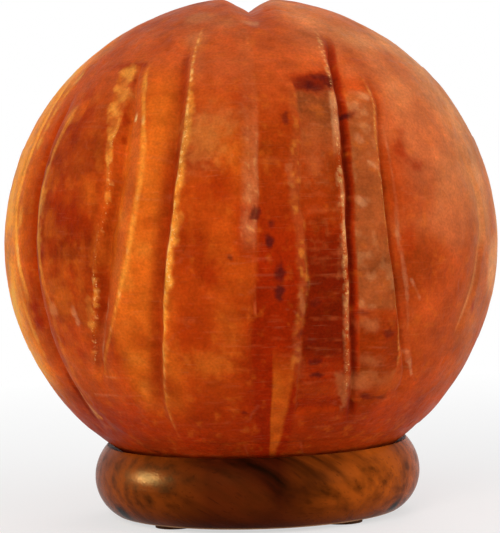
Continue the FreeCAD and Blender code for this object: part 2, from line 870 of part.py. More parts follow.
def stem_top(size):
    return bulb_bottom(size) + size.stem_start + size.stem_height


def make_glass_stem(doc, size):
    body = new_body(doc, "glass_stem")
    low = bulb_bottom(size) + size.stem_start
    revolve(body, "stem", [(0, low), (size.stem_radius, low),
                           (size.stem_radius, low + size.stem_foot_height),
                           (size.stem_tip_radius, stem_top(size)), (0, stem_top(size))])
    return body


def make_lead_wires(doc, size):
    body = new_body(doc, "lead_wires")
    low = stem_top(size)
    high = low + size.lead_height
    section = new_sketch(body, "wire_section", "XY_Plane", (0, 0, low))
    draw_circle(section, size.lead_foot_reach, 0, size.lead_radius)
    path = new_sketch(body, "wire_path", "XZ_Plane")
    ends = [vector(size.lead_foot_reach.number, low.number),
            vector(size.lead_reach.number, high.number)]
    path.addGeometry(Part.LineSegment(*ends))
    fix_point(path, 0, START, size.lead_foot_reach, low)
    fix_point(path, 0, END, size.lead_reach, high)
    wire = body.newObject("PartDesign::AdditivePipe", "wire")
    wire.Profile = section
    wire.Spine = (path, [])
    repeat_round(body, "wires", [wire], 2)
    return body


def make_filament(doc, size):
    body = new_body(doc, "filament")
    sketch = new_sketch(body, "coil_section", "XZ_Plane")
    high = stem_top(size) + size.lead_height + size.filament_radius
    draw_circle(sketch, size.lead_reach, high, size.filament_radius)
    bow = body.newObject("PartDesign::Revolution", "bow")
    bow.Profile = sketch
    bow.ReferenceAxis = (sketch, ["V_Axis"])
    bow.Angle = FULL_TURN / 2
    return body


def make_right_spring_clip(doc, size):
    return make_spring_clip(doc, size, "right_spring_clip", 1)


def make_left_spring_clip(doc, size):
    return make_spring_clip(doc, size, "left_spring_clip", -1)


MAKERS = (
    make_wood_base,
    make_salt_crystal,
    make_fixing_screws,
    make_foot_pads,
    make_mounting_bracket,
    make_clip_rivets,
    make_right_spring_clip,
    make_left_spring_clip,
    make_threaded_nipple,
    make_star_washer,
    make_lock_nut,
    make_socket_cup,
    make_socket_sleeve,
    make_terminal_block,
    make_terminal_screws,
    make_screw_shell,
    make_shell_strap,
    make_contact_tongue,
    make_bulb_glass,
    make_bulb_cap,
    make_bulb_insulator,
    make_bulb_contact,
    make_glass_stem,
    make_lead_wires,
    make_filament,
)


def check(doc, bodies):
    """Stops before anything is written if a feature failed or a piece has no sound shape."""
    for item in doc.Objects:
        if "Invalid" in item.State or "Error" in item.State:
            raise RuntimeError(f"{item.Name} failed: {item.State}")
    for body in bodies:
        if body.Shape.isNull() or not body.Shape.isValid():
            raise RuntimeError(f"{body.Label} has no valid shape")


def main():
    doc = FreeCAD.newDocument("salt_crystal_lamp")
    groove_sizes = {f"{name}_{word}": value
                    for name, values in GROOVES.items()
                    for word, value in zip(GROOVE_WORDS, values)}
    size = Sizes(doc, {**SIZES, **groove_sizes})
    doc.recompute()
    bodies = [make(doc, size) for make in MAKERS]
    doc.recompute()
    check(doc, bodies)
    os.makedirs("parts", exist_ok=True)
    for body in bodies:
        body.Shape.exportStep(f"parts/{body.Label}.step")
        print(f"{body.Label}: {len(body.Shape.Solids)} solids, {body.Shape.Volume:.1f} mm3")


main()
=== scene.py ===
import itertools
import json
import math

import bmesh
import bpy
import numpy as np
from mathutils import Matrix, Quaternion, Vector


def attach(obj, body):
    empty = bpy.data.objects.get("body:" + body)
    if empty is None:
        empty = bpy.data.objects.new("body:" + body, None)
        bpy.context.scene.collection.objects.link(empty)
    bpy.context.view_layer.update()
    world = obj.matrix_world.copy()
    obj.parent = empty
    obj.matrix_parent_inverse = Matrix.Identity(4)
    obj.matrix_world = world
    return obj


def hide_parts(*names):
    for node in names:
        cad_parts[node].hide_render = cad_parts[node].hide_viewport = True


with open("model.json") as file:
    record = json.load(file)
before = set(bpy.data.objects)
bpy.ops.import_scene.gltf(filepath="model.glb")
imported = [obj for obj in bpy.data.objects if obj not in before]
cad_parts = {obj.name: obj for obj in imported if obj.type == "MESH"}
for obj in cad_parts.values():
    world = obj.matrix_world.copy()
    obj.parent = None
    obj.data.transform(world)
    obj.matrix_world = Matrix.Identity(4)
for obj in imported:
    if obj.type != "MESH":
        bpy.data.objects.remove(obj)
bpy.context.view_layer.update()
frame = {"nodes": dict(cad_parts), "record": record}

MM = 0.001

# ---------------------------------------------------------------- sizes of the ball, in mm
BALL_RADIUS = 75.5
FLAT_RADIUS = 40.0
BORE_RADIUS = 20.0
BORE_DEPTH = 98.0
BORE_CORNER = 8.0
SEAT = 18.9
CENTRE = SEAT + math.sqrt(BALL_RADIUS ** 2 - FLAT_RADIUS ** 2)
LOWEST_LATITUDE = -math.degrees(math.acos(FLAT_RADIUS / BALL_RADIUS))
RISE_PER_DEGREE = math.radians(1.0) * BALL_RADIUS

# How many places the ball's grid has from top to rim, and round it.
GRID = ((340, 840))

# ---------------------------------------------------------------- colours, sRGB 0 to 255


def linear(red, green, blue):
    """An sRGB colour as the linear numbers that Blender mixes."""
    shares = np.array([red, green, blue]) / 255.0
    return np.where(shares <= 0.04045, shares / 12.92, ((shares + 0.055) / 1.055) ** 2.4)


ORANGE = linear(176, 64, 14)
AMBER = linear(212, 104, 28)
GOLD = linear(236, 152, 58)
CREAM = linear(252, 206, 134)
SALMON = linear(192, 88, 42)
ROSE = linear(182, 84, 44)
PEACH = linear(208, 138, 92)
TAN = linear(172, 90, 46)
BROWN = linear(181, 73, 18)
UMBER = linear(158, 54, 12)
RED = linear(150, 34, 4)
DEEP = linear(108, 20, 3)
MAROON = linear(66, 16, 16)

# ---------------------------------------------------------------- carving
# Places on the ball are (azimuth, latitude) in degrees: azimuth 0 faces the front and grows to
# the right. The lines are where the carver's tool ran, from top to bottom.
LINES = {
    "left_valley": ((-20.2, 49), (-18, 38), (-17.4, 26), (-17.3, 21), (-18, 9), (-19.6, -2),
                    (-20.6, -9), (-22.1, -19), (-24.3, -28), (-26.3, -36)),
    "left_lip": ((-17.4, 53), (-16.6, 46), (-15.5, 39), (-14.9, 26), (-15.7, 16), (-16.6, 6),
                 (-18, -2), (-19.3, -9.5), (-20.7, -19), (-23.3, -32), (-25, -40)),
    "far_left_valley": ((-33.4, 42), (-31, 33), (-30, 23), (-30.5, 12), (-32.7, -2), (-35, -12),
                        (-36.9, -18), (-40, -24), (-42, -30)),
    "far_left_lip": ((-33.3, 30), (-32.7, 21.7), (-31.9, 13.5), (-32.6, 7.6), (-33.5, 3.4),
                     (-34.4, 0.3), (-35.6, -7.5), (-37.1, -14.7), (-39.6, -21), (-42.6, -27)),
    "far_left_ridge": ((-30.4, 42), (-25, 24.5), (-24.5, 17), (-25.5, 6), (-27.5, -3),
                       (-30.5, -10.5), (-32.5, -15), (-40.4, -27)),
    "side_lip": ((-51, 31), (-54.9, 12), (-54.6, 5), (-53.4, -2), (-52.4, -9), (-50.6, -12.6),
                 (-52, -24), (-52, -36)),
    "side_valley": ((-57, 34), (-58, 12), (-57.5, -4), (-57, -38)),
    "side_rim": ((-70, 40), (-67, 31), (-66.3, 22), (-67.5, 15), (-66.8, 6), (-65.7, -1),
                 (-62.9, -9)),
    "middle_line": ((1.2, 59), (3, 48), (3, 30), (2.5, 15), (1.8, 4.5), (0.9, -7), (-0.3, -17),
                    (-0.7, -22), (-0.5, -34)),
    "wedge_left": ((4.3, -26), (4.2, -34), (4.1, -39), (4.5, -53.5)),
    "wedge_right": ((10.1, -26), (9.4, -33), (8.8, -40), (7.6, -53)),
    "panel_left": ((12.8, 35), (11.2, 16), (10.2, 10), (11, 2.6), (11, -19), (10.6, -27)),
    "panel_right": ((27.8, 52), (25.2, 45), (23.5, 34), (21.9, 26), (20.1, 12), (20.3, -2),
                    (20.8, -11), (22, -21), (25, -36)),
    "right_valley": ((29.5, 50), (27.7, 46), (24.9, 36), (22.9, 20), (21.7, 7), (21.7, -2),
                     (22.2, -11), (23.6, -21), (26.3, -34), (28, -40)),
    "far_right_line": ((34, 36), (33, 29), (31, 23), (29.8, 16), (29.8, 5), (30.9, -2.5),
                       (33, -12), (35, -20), (37, -26)),
    "far_right_valley": ((35.4, 36), (34.4, 29.5), (31.6, 20), (30.7, 8), (31.9, -2.5),
                         (34, -12), (37, -22), (40.6, -29)),
    "side_right_line": ((60.7, 16), (64.7, 11), (65, 3), (62, -3), (60.8, -9), (56, -19)),
}

# Cuts that follow a line: the line, the depth of the cut, how far its left and right sides run
# in mm, the latitude of its deepest place, how many degrees it runs to each side of that, and
# how worn its lips are.
LINE_CUTS = (
    ("left_valley", 3.1, 9.5, 2.3, 4, 50, 0.12),
    ("far_left_valley", 2.9, 2, 5.5, 6, 40, 0.16),
    ("side_valley", 2.2, 8, 4.2, -2, 46, 0.6),
    ("middle_line", 1, 0.8, 12, -2, 50, 0.12),
    ("right_valley", 3.1, 1.7, 8.5, 5, 48, 0.12),
    ("far_right_valley", 2.1, 1.5, 7.5, -2, 36, 0.2),
    ("side_right_line", 1.3, 7, 1.4, 0, 24, 0.3),
)

# Cuts in one plane, as in the solid: the turn and lean of the plane and its offset in mm, the
# depth, the two sides, the latitude of the middle and the reach.
PLANE_CUTS = {
    "crown": (4, 0, 0.5, 5, 9.5, 9.5, 86, 34),
    "back_middle": (186, 4, 3, 2.8, 11, 2.5, 10, 56),
    "back_left": (176, -3, -24, 3.2, 12, 3, 2, 50),
    "back_far_left": (182, -5, -43, 3, 9, 3, 4, 38),
    "back_right": (183, 2, 26, 3.2, 3, 12, -2, 52),
    "back_far_right": (178, 5, 44, 2.8, 2.5, 9, 4, 38),
    "far_left_side": (-98, -2, 0, 2.8, 8, 4, 4, 48),
    "far_right_side": (100, 2, 0, 2.8, 4, 8, -4, 48),
}

# Narrow channels along a line: their width, depth and place to its right, in mm.
CHANNELS = (
    ("left_valley", 3, 0.7, 0), ("far_left_valley", 2, 0.6, 0),
    ("right_valley", 1.8, 0.9, 0), ("far_right_valley", 1.3, 0.5, 0),
    ("far_right_valley", 1, 0.3, 3.2), ("side_valley", 2.4, 0.5, 0),
)

# Lips that have crumbled: the line, which side of it (1 is right), and how much.
CRUMBLING = (
    ("left_lip", 1, 0.5), ("far_left_valley", -1, 0.8), ("panel_right", -1, 0.6),
    ("far_right_line", 1, 0.3), ("wedge_left", 1, 0.4), ("side_lip", 1, 0.4),
)

# Broad colours of the front: colour, strength, and where it is by azimuth and by latitude. Two
# limits are a ramp from 0 to 1, three are a band and how soft its ends are, and none is all over.
# Some zones are painted light: the salmon, rose and peach towards the top a painted pale
# reflection, the tan of the right limb painted rim light, and the amber of the left limb painted
# warm light.
ZONES = (
    (SALMON, 0.75, (), (18, 52)), (ROSE, 0.8, (14, 2), (48, 62)), (PEACH, 0.5, (8, 32), (38, 56)),
    (AMBER, 0.8, (-32, -18, 3), (-40, 40, 8)), (SALMON, 0.45, (28, 40), (-52, -10)),
    (UMBER, 0.8, (-60, -35, 3), (-12, 24, 9)), (SALMON, 0.35, (-60, -35, 3), (-6, -22)),
    (1.1 * AMBER, 0.9, (-58, -68), (-40, 60, 12)), (TAN, 0.5, (50, 62), (-35, 56, 12)),
)

# Dark inclusions in the salt, the first four a painted shadow under the ledge at the recessed
# panel's top: azimuth, latitude, width and height in mm, and strength.
SPOTS = (
    (15.5, 37, 5.5, 3.2, 0.7), (18.6, 36.6, 6.5, 3.8, 0.8), (22.6, 38, 4.6, 4.2, 0.85),
    (20.4, 38.4, 4, 2, 0.6), (1, 7.1, 2.4, 3.6, 0.7), (3.9, 1.3, 2.4, 3, 0.8),
    (4.1, 5, 1.6, 2.4, 0.55), (6, -5.8, 2.8, 6, 0.8), (5.9, -9.6, 2.6, 4.6, 0.8),
    (9.1, 28, 1.9, 3.6, 0.55), (24.9, 29, 3.8, 1.9, 0.85), (14.4, -25.6, 3, 2.2, 0.6),
    (15.3, -28.8, 4.4, 1.6, 0.7), (25.3, -15, 3, 1.8, 0.55), (31.6, -19.3, 3.2, 2.4, 0.55),
    (-4.3, -1.8, 1.4, 1.2, 0.5), (-3, -38, 1.8, 1.1, 0.5), (29.9, -34.9, 3.4, 1.9, 0.55),
    (13.5, -12, 3, 2, 0.35), (10.4, -18.6, 1.8, 2.4, 0.4), (13, -20.5, 2.4, 1.6, 0.3),
)

# Soft spots: azimuth, latitude, width and height in mm, colour and strength.
# The gold ones at azimuth -51.5 to -54 are painted glints along the side lip, and the peach one at
# (2.3, 59.2) under the crown's notch a painted highlight.
CLOUDS = (
    (-9, -5.6, 6, 8, RED, 0.75), (-7.5, 12, 12, 8, RED, 0.4), (-10.3, -25.1, 12, 7, AMBER, 0.55),
    (-5.6, -18, 7, 13, AMBER, 0.25), (-12.5, -15, 7, 9, RED, 0.25), (-11, 21, 11, 13, TAN, 0.35),
    (-11, 6, 11, 12, RED, 0.3), (-5, 42, 12, 10, SALMON, 0.5), (-38, 44.2, 12, 3, RED, 0.7),
    (-47, 25, 9, 18, RED, 0.3), (-44, 8, 12, 12, RED, 0.4), (-51.5, 31, 4, 6, GOLD, 0.35),
    (-54, 11, 4, 9, GOLD, 0.55), (-53.5, 3, 2.6, 6, GOLD, 0.4),
    (-50.6, -12.6, 3, 3.6, PEACH, 0.45), (-40, -13, 5, 6, BROWN, 0.6),
    (-47, -30, 9, 9, BROWN, 0.5), (-27, -20, 9, 6, RED, 0.25), (-33, -23.5, 5, 4, RED, 0.3),
    (-4, 19, 9, 7, AMBER, 0.35), (-24, -30, 8, 6, UMBER, 0.5), (36.9, 19.4, 3.4, 6, RED, 0.7),
    (40.3, 16.6, 6, 3.4, RED, 0.6), (38.4, 24, 3, 3, RED, 0.35), (36, 0.5, 3.4, 8, RED, 0.5),
    (35.4, -17, 4, 7, RED, 0.35), (61.6, -15, 2.6, 3.6, RED, 0.7), (46, 10, 4, 3, TAN, 0.6),
    (50, 28, 6, 8, TAN, 0.4), (-60.8, -12.5, 4.6, 3.4, RED, 0.9), (-60.7, -15.9, 5, 3.6, RED, 0.9),
    (2.3, 59.2, 5, 3.4, PEACH, 0.5), (-62, 44, 3, 5, RED, 0.5), (-8, 28, 14, 9, TAN, 0.45),
    (14.5, 17, 6, 8, TAN, 0.35), (16, -7, 9, 4.5, DEEP, 0.6), (17, -17.5, 8, 5, DEEP, 0.5),
    (23, -31, 3.4, 6, TAN, 0.6), (33, -31.5, 13, 5, TAN, 0.4), (28.5, -33.5, 12, 5, UMBER, 0.8),
    (-38.5, 12, 5, 8, AMBER, 0.25), (-43, 20, 7, 8, BROWN, 0.5), (-9.5, 24, 14, 13, GOLD, 0.2),
    (-34, 0.3, 4, 10, AMBER, 0.35), (-34.5, 36, 4, 5, GOLD, 0.4), (-18, 28, 3, 12, AMBER, 0.35),
    (-30, -17, 8, 8, AMBER, 0.35), (-47, -10, 12, 9, AMBER, 0.45), (-43, 10.8, 10, 6, RED, 0.35),
    (16, -33, 9, 4, UMBER, 0.6), (12, 27, 8, 5, UMBER, 0.4), (36, -32, 6, 5, BROWN, 0.5),
    (27, -17.6, 6, 3.6, TAN, 0.7), (28.6, -26, 7, 3, TAN, 0.5), (28, -31.5, 8, 5, TAN, 0.7),
)

# Strokes: from one place to another, their widths there in mm, colour and strength.
# The cream strokes are painted glints, and the gold ones at azimuth -63 to -66 painted warm light
# along the left limb.
STROKES = (
    (-37.2, 42.4, -32.6, 16, 5, 0.8, GOLD, 0.75), (-34.2, 42, -31, 24, 1, 1.4, RED, 0.7),
    (-63, 44, -63.5, 24, 2.6, 1.8, GOLD, 0.7), (-64.1, 9.3, -66, 1, 2.4, 1.8, GOLD, 0.75),
    (-65.4, 1.5, -65.3, -3, 1.2, 1.2, CREAM, 0.6), (-60.5, -3, -60.5, -17, 2.2, 1.8, RED, 0.4),
    (-59, 38, -62, 22, 2, 2.6, SALMON, 0.6), (-66, -8, -64, -24, 1.4, 1.8, GOLD, 0.5),
    (-56.2, -26.5, -54.2, -40.5, 1, 3, GOLD, 0.9),
    (-56, -33.5, -54.4, -39.5, 0.8, 1.4, CREAM, 0.7), (-57.8, -28, -57.6, -44, 1, 1.5, DEEP, 0.6),
    (-43.6, -12, -42.4, -15.4, 1.7, 1.9, PEACH, 0.4),
    (-38, -10.3, -38.6, -15.5, 2, 2.4, GOLD, 0.5), (-33.4, -10.3, -39, -24, 0.6, 0.8, PEACH, 0.5),
    (-46.8, -33.4, -30.9, -33.3, 0.6, 0.5, PEACH, 0.3),
    (-39.7, -28.4, -31.7, -28.4, 0.5, 0.5, PEACH, 0.25),
    (-28.9, 31, -28.8, 29.3, 0.8, 0.7, CREAM, 0.7), (-29.6, 40.6, -27.6, 36, 1, 1, GOLD, 0.6),
    (28.8, 34.9, 32, 33.3, 1.4, 2, PEACH, 0.4), (26.4, 24.2, 27, 22.4, 1.6, 1.8, PEACH, 0.25),
    (24.4, 9.6, 25.3, 8.4, 1.5, 1.6, PEACH, 0.35), (27.7, 17.8, 29.8, 15.5, 0.6, 0.6, PEACH, 0.4),
    (25, -15.4, 28.4, -18.3, 0.9, 1.2, TAN, 0.5), (29.7, -35.3, 37.3, -35.7, 1.1, 1, MAROON, 0.5),
    (32.8, -9, 35.6, -21.6, 0.8, 0.8, GOLD, 0.4), (39.3, -24.6, 43.6, -30.3, 1.8, 0.8, PEACH, 0.5),
    (27.7, -29, 42.4, -28.4, 0.5, 0.5, TAN, 0.5), (34, 26, 33.2, 2, 0.6, 1.1, PEACH, 0.25),
    (33.2, 2, 38.2, -19, 1.1, 0.7, PEACH, 0.25), (11.2, 10.8, 20, 10.2, 0.6, 0.8, SALMON, 0.3),
    (11.8, -5.9, 20, -6.6, 0.7, 0.9, SALMON, 0.25),
    (12.4, -11.4, 17, -10.9, 0.6, 0.6, SALMON, 0.15),
    (12.6, -15.4, 20.6, -15.7, 0.6, 0.9, SALMON, 0.3),
    (12.4, -22, 20.2, -22.9, 0.6, 0.8, SALMON, 0.2),
    (12, -30.8, 20.6, -30.1, 0.9, 0.8, SALMON, 0.25),
    (10.1, -8.6, 10.8, -13.8, 1.1, 1.3, TAN, 0.8), (9.9, -21.6, 11.4, -28.4, 1.8, 2.4, TAN, 0.4),
    (22.5, 33, 21, 23.5, 2.2, 1.6, PEACH, 0.6), (20, 13, 19.8, 1, 0.8, 0.8, CREAM, 0.35),
    (19, -1, 18.6, -6.5, 1.6, 1.2, TAN, 0.3), (21.3, -29, 24.6, -36.9, 3, 1.2, TAN, 0.7),
    (0.6, -7.8, 0.5, -14, 0.5, 0.5, SALMON, 0.5), (8.6, 17, 9.4, 10, 1.6, 1.4, TAN, 0.5),
    (36.9, -8, 39.5, -12, 0.8, 0.8, PEACH, 0.3),
)


# ---------------------------------------------------------------- smooth steps and noise
def ramp(values, low, high):
    """Goes smoothly from 0 at low to 1 at high, which may also be the smaller one."""
    share = np.clip((values - low) / (high - low), 0.0, 1.0)
    return share * share * (3.0 - 2.0 * share)


def between(values, low, high, soft):
    return ramp(values, low - soft, low + soft) * (1.0 - ramp(values, high - soft, high + soft))


def window(values, limits):
    """1 within the limits of a zone."""
    if len(limits) == 3:
        return between(values, *limits)
    return ramp(values, *limits) if limits else 1.0


class Noise:
    """Smooth lattice noise from -1 to 1. A cell is its grain in mm, one size or one an axis."""

    SIDE = 64

    def __init__(self, seed):
        shape = (self.SIDE,) * 3
        self.table = np.random.default_rng(seed).uniform(-1.0, 1.0, shape)

    def __call__(self, places, cell):
        at = places / np.asarray(cell)
        low = np.floor(at).astype(int)
        share = at - low
        share = share * share * (3.0 - 2.0 * share)
        total = np.zeros(places.shape[:-1])
        for corner in itertools.product((0, 1), repeat=3):
            index = (low + corner) % self.SIDE
            weight = np.prod(np.where(corner, share, 1.0 - share), axis=-1)
            total += weight * self.table[index[..., 0], index[..., 1], index[..., 2]]
        return total

    def layered(self, places, cell, layers=3):
        cell = np.asarray(cell)
        sums = [self(places + 17.0 * step, cell / 2.1 ** step) / 1.9 ** step
                for step in range(layers)]
        return sum(sums) / sum(1 / 1.9 ** step for step in range(layers))


lumps = Noise(3)
patches = Noise(11)
streaks = Noise(23)
chips = Noise(31)


# ---------------------------------------------------------------- the ball's outer surface
class Ball:
    """A grid of places on the ball, closer together on the front, with their carving and paint."""

    def __init__(self, rows, columns):
        turn = np.linspace(-math.pi, math.pi, columns, endpoint=False)
        crowding = 0.28
        self.turns = turn - crowding * np.sin(turn)
        self.latitudes = np.linspace(90.0, LOWEST_LATITUDE, rows + 1)[1:]
        self.azimuth, self.latitude = np.meshgrid(np.degrees(self.turns), self.latitudes)
        turn, rise = np.radians(self.azimuth), np.radians(self.latitude)
        self.outward = np.stack([np.cos(rise) * np.sin(turn), -np.cos(rise) * np.cos(turn),
                                 np.sin(rise)], axis=-1)
        self.places = BALL_RADIUS * self.outward
        self.mm_per_degree = RISE_PER_DEGREE * np.cos(rise)
        self.paint = np.zeros(self.places.shape)
        self.paint[:] = ORANGE
        self.bite = np.zeros(self.azimuth.shape)
        self.rough = np.full(self.azimuth.shape, 0.5)
        self.grit_and_glints = np.full(self.azimuth.shape, 0.25)
        self.hand = lumps(self.places + 40.0, 9.0) + 0.5 * lumps(self.places, 3.5)
        self.broken = 0.3 + 0.7 * ramp(chips(self.places + 33.0, 2.4), -0.3, 0.4)
        self.rag = 0.45 * chips(self.places, 1.7) + 0.3 * chips(self.places + 9.0, 0.9)

    def past(self, line, wander=0.35):
        """How far each place lies to the right of a line, in mm, with the hand's wander."""
        points = sorted(LINES[line], key=lambda point: point[1])
        heights = np.arange(-64.0, 92.0, 1.0)
        course = np.interp(heights, [p[1] for p in points], [p[0] for p in points])
        kernel = np.array([1, 2, 3, 4, 3, 2, 1]) / 16.0
        course = np.convolve(np.pad(course, 3, mode="edge"), kernel, mode="valid")
        turned = (self.azimuth - np.interp(self.latitude, heights, course) + 180.0) % 360.0
        return (turned - 180.0) * self.mm_per_degree + wander * self.hand

    def along(self, line, low_fade=4.0, high_fade=4.0):
        """1 between the ends of a line, fading over some degrees at each end."""
        heights = [point[1] for point in LINES[line]]
        low, high = min(heights), max(heights)
        rise = ramp(self.latitude, low - low_fade, low + low_fade)
        return rise * (1.0 - ramp(self.latitude, high - high_fade, high + high_fade))

    def tint(self, colour, weight):
        weight = np.clip(weight, 0.0, 1.0)[..., None]
        self.paint += (colour - self.paint) * weight

    def shade(self, factor, weight):
        weight = np.clip(weight, 0.0, 1.0)[..., None]
        self.paint *= 1.0 + (factor - 1.0) * weight

    def finish(self, rough, grit_and_glints, weight):
        self.rough += (rough - self.rough) * np.clip(weight, 0.0, 1.0)
        self.grit_and_glints += (grit_and_glints - self.grit_and_glints) * np.clip(weight, 0.0, 1.0)

    def spot(self, azimuth, latitude, width, height, soft):
        """A ragged oval of this size in mm, 1 in its middle."""
        across = ((self.azimuth - azimuth + 180.0) % 360.0 - 180.0) * self.mm_per_degree
        up = (self.latitude - latitude) * RISE_PER_DEGREE
        away = np.hypot(across / (width / 2), up / (height / 2))
        return 1.0 - ramp(away + self.rag, 1.0 - soft, 1.0 + soft)

    def stroke(self, azimuth, latitude, to_azimuth, to_latitude, width, to_width):
        """A ragged stroke from one place to another, 1 along its middle."""
        across = ((self.azimuth - azimuth + 180.0) % 360.0 - 180.0) * self.mm_per_degree
        run = (to_azimuth - azimuth) * self.mm_per_degree
        up = (self.latitude - latitude) * RISE_PER_DEGREE
        climb = (to_latitude - latitude) * RISE_PER_DEGREE
        share = np.clip((across * run + up * climb) / (run ** 2 + climb ** 2), 0.0, 1.0)
        half = (width + (to_width - width) * share) / 2.0
        away = np.hypot(across - share * run, up - share * climb) / half
        return self.broken * ramp(away + 1.3 * self.rag, 1.6, 0.5)


def wedge(distance, depth, left, right, root=0.5, lip=0.12):
    """The bite of a two-sided cut, its root and lips a little rounded."""
    slope = np.where(distance < 0, depth / left, depth / right)
    deepest = np.maximum(depth, 0.0)
    bite = deepest - slope * (np.sqrt(distance ** 2 + root ** 2) - root)
    return lip * np.logaddexp(0.0, np.clip(bite / lip, -30.0, 60.0))


def plane_cut(ball, turn, lean, offset, depth, left, right, middle, reach):
    """The same cut as in the solid, by a round cutter held in one plane. Also its side."""
    turn, lean, middle, reach = np.radians([turn, lean, middle, reach])
    square = np.array([math.cos(turn) * math.cos(lean), math.sin(turn) * math.cos(lean),
                       math.sin(lean)])
    along = np.array([math.sin(turn), -math.cos(turn), 0.0])
    upward = np.cross(along, square)
    section = math.sqrt(BALL_RADIUS ** 2 - offset ** 2)
    bottom = section - depth
    shift = (section ** 2 - bottom ** 2) / (2 * (bottom - section * math.cos(reach)))
    across = ball.places @ square
    side = across - offset
    side += 0.5 * lumps(ball.places + 70.0, 11.0) + 0.25 * lumps(ball.places, 4.0)
    away = np.hypot(ball.places @ along + shift * math.cos(middle),
                    ball.places @ upward + shift * math.sin(middle))
    inward = section - np.sqrt(np.maximum(BALL_RADIUS ** 2 - across ** 2, 0.0))
    here = away - (bottom + shift) + inward
    return wedge(side, np.clip(here, 0.0, depth), left, right), side, here / depth


def carve(ball):
    """The big cuts, then the narrow channels, the recessed panels, chips and lumps."""
    places, lat = ball.places, ball.latitude
    bites = []
    for line, depth, left, right, middle, reach, worn in LINE_CUTS:
        share = np.clip(1 - ((lat - middle) / reach) ** 2, 0, 1)
        bites.append(wedge(ball.past(line), depth * share, left, right, lip=worn))
    for name, cut in PLANE_CUTS.items():
        bites.append(plane_cut(ball, *cut)[0])
        if name == "crown":
            # its sides bulge, and are steep only near its root
            depth = cut[3]
            bites[-1] = depth * np.clip(bites[-1] / depth, 0, 1) ** 1.7
    ball.bite = np.max(bites, axis=0)

    for line, width, depth, shift in CHANNELS:
        here = ball.past(line) - shift
        ball.bite += depth * np.exp(-(here / (width / 2)) ** 2) * ball.along(line)

    # the recessed panel right of the middle has a blunt ledge at its top
    inside = ramp(ball.past("panel_left", 0.7), -0.3, 0.6)
    inside *= ramp(ball.past("panel_right"), -0.9, -1.6)
    height = between(lat + 0.6 * chips(places, 2.2), -38, 37.6, 0.9)
    ball.bite += 0.75 * inside * height
    # the gouge's blunt top on the far left
    gouge = between(ball.past("far_left_valley"), -6, 0.6, 0.5)
    ball.bite += 0.6 * gouge * between(lat, 26, 43.4, 1.2)

    for line, side, strength in CRUMBLING:
        here = ball.past(line, 0.2) * side
        near = np.exp(-(here / 1.5) ** 2) * ball.along(line)
        flake = np.maximum(chips(places, (2, 2, 2.8)) - 0.15, 0)
        ball.bite += strength * near * flake
    ball.bite += 0.22 * lumps(places, 14) + 0.10 * lumps(places, 5)
    ball.bite += 0.045 * lumps(places + 5, 1.9)
    tool_marks = np.sin(lat * 9 + 3 * lumps(places, 20))
    ball.bite += 0.02 * tool_marks * ramp(patches(places, 15), -0.2, 0.5)
    ball.bite += 0.9 * np.maximum(chips(places + 3, 3.2) - 0.62, 0)
    edge = (lat - LOWEST_LATITUDE) * RISE_PER_DEGREE
    rag = 0.5 * chips(places, 4) + 0.3 * chips(places, 1.6)
    ball.bite += np.maximum(1.5 + rag - edge, 0) * 0.45


def paint_front(ball):
    """The colours that the photograph shows, in broad shades."""
    az, lat, places = ball.azimuth, ball.latitude, ball.places
    front = ramp(np.abs(az), 108, 92)

    def tint(colour, weight):
        ball.tint(colour, weight * front)

    # broad zones, painted light among them at the top and on both limbs
    for colour, strength, azimuths, latitudes in ZONES:
        tint(colour, strength * window(az, azimuths) * window(lat, latitudes))
    # painted warm light along the left limb, thinner in patches at its edge
    golden = between(az, -90, -69, 8) * between(lat, -34, 54, 16)
    worn = ramp(patches.layered(places + 61, 9), -0.3, 0.2)
    golden *= 1 - 0.75 * ramp(-az, 74, 84) * worn
    tint(1.2 * GOLD, golden * (0.9 + 0.9 * patches.layered(places + 8, 9)))
    # painted rim light along the right limb
    pale = between(az, 63, 90, 9) * between(lat, -19, 60, 14)
    tint(PEACH, pale * (0.85 + 0.6 * patches.layered(places + 8, 7)))
    # painted shade, darker towards the bottom
    tint(RED, 0.75 * ramp(lat, -27, -44) * ramp(az, 60, 22))
    tint(UMBER, 0.6 * ramp(lat, -34, -52))

    rough = patches(places + 21, 13)
    right = ramp(az, 26, 38)
    tint(PEACH, 0.35 * ramp(rough, 0, 0.6) * right * ramp(lat, -30, 20))
    tint(UMBER, 0.60 * ramp(-rough, -0.2, 0.6) * right)
    rough = patches(places + 5, 9)
    top = ramp(lat, 32, 50)
    tint(PEACH, 0.35 * ramp(rough, 0.1, 0.7) * top)
    tint(UMBER, 0.35 * ramp(-rough, 0.1, 0.7) * top)

    # painted pale light higher on the right, darker lower down
    tint(PEACH, 0.3 * ramp(az, 32, 42) * between(lat, 10, 50, 10))
    ball.shade(0.9, front * between(az, 38, 62, 6) * between(lat, -22, 8, 6))

    # the middle of the front between its left lip and the middle line
    centre = ramp(ball.past("left_lip"), 0, 1) * ramp(az, 4, -1)
    below = between(lat, -26, 36, 8)
    tint(AMBER, 0.18 * centre * below * ramp(patches(places, 9), -0.2, 0.5))
    tint(RED, 0.4 * centre * ramp(-patches(places, 8), 0, 0.6) * ramp(lat, 44, 30))
    tint(RED, 0.45 * ramp(az, -9, 0) * ramp(az, 6, 0) * ramp(lat, 2, -26))

    # the band right of the middle line, deep red below
    past_middle = ball.past("middle_line", 0.25)
    left_of_panel = ramp(ball.past("panel_left"), 0.8, -0.8)
    band = ramp(past_middle, -0.9, 0.9) * left_of_panel * ramp(az, 15, 12)
    tint(UMBER, 0.8 * band * ramp(lat, 38, 16))
    tint(RED, 0.95 * band * ramp(lat, 22, -6))
    pale = ramp(past_middle, -6, -3.2) * ramp(past_middle, -0.2, -1)
    pale *= ramp(lat, -2, 5) * (1 - 0.8 * ramp(lat, 12, 38))
    tint(PEACH, 0.5 * pale * (0.7 + 0.6 * patches.layered(places, (2.2, 2.2, 3.5))))
    # painted glints in the pale band
    tint(CREAM, 0.2 * pale * ramp(chips(places, 0.8), 0.35, 0.8))
    ball.finish(0.7, 0.7, pale)


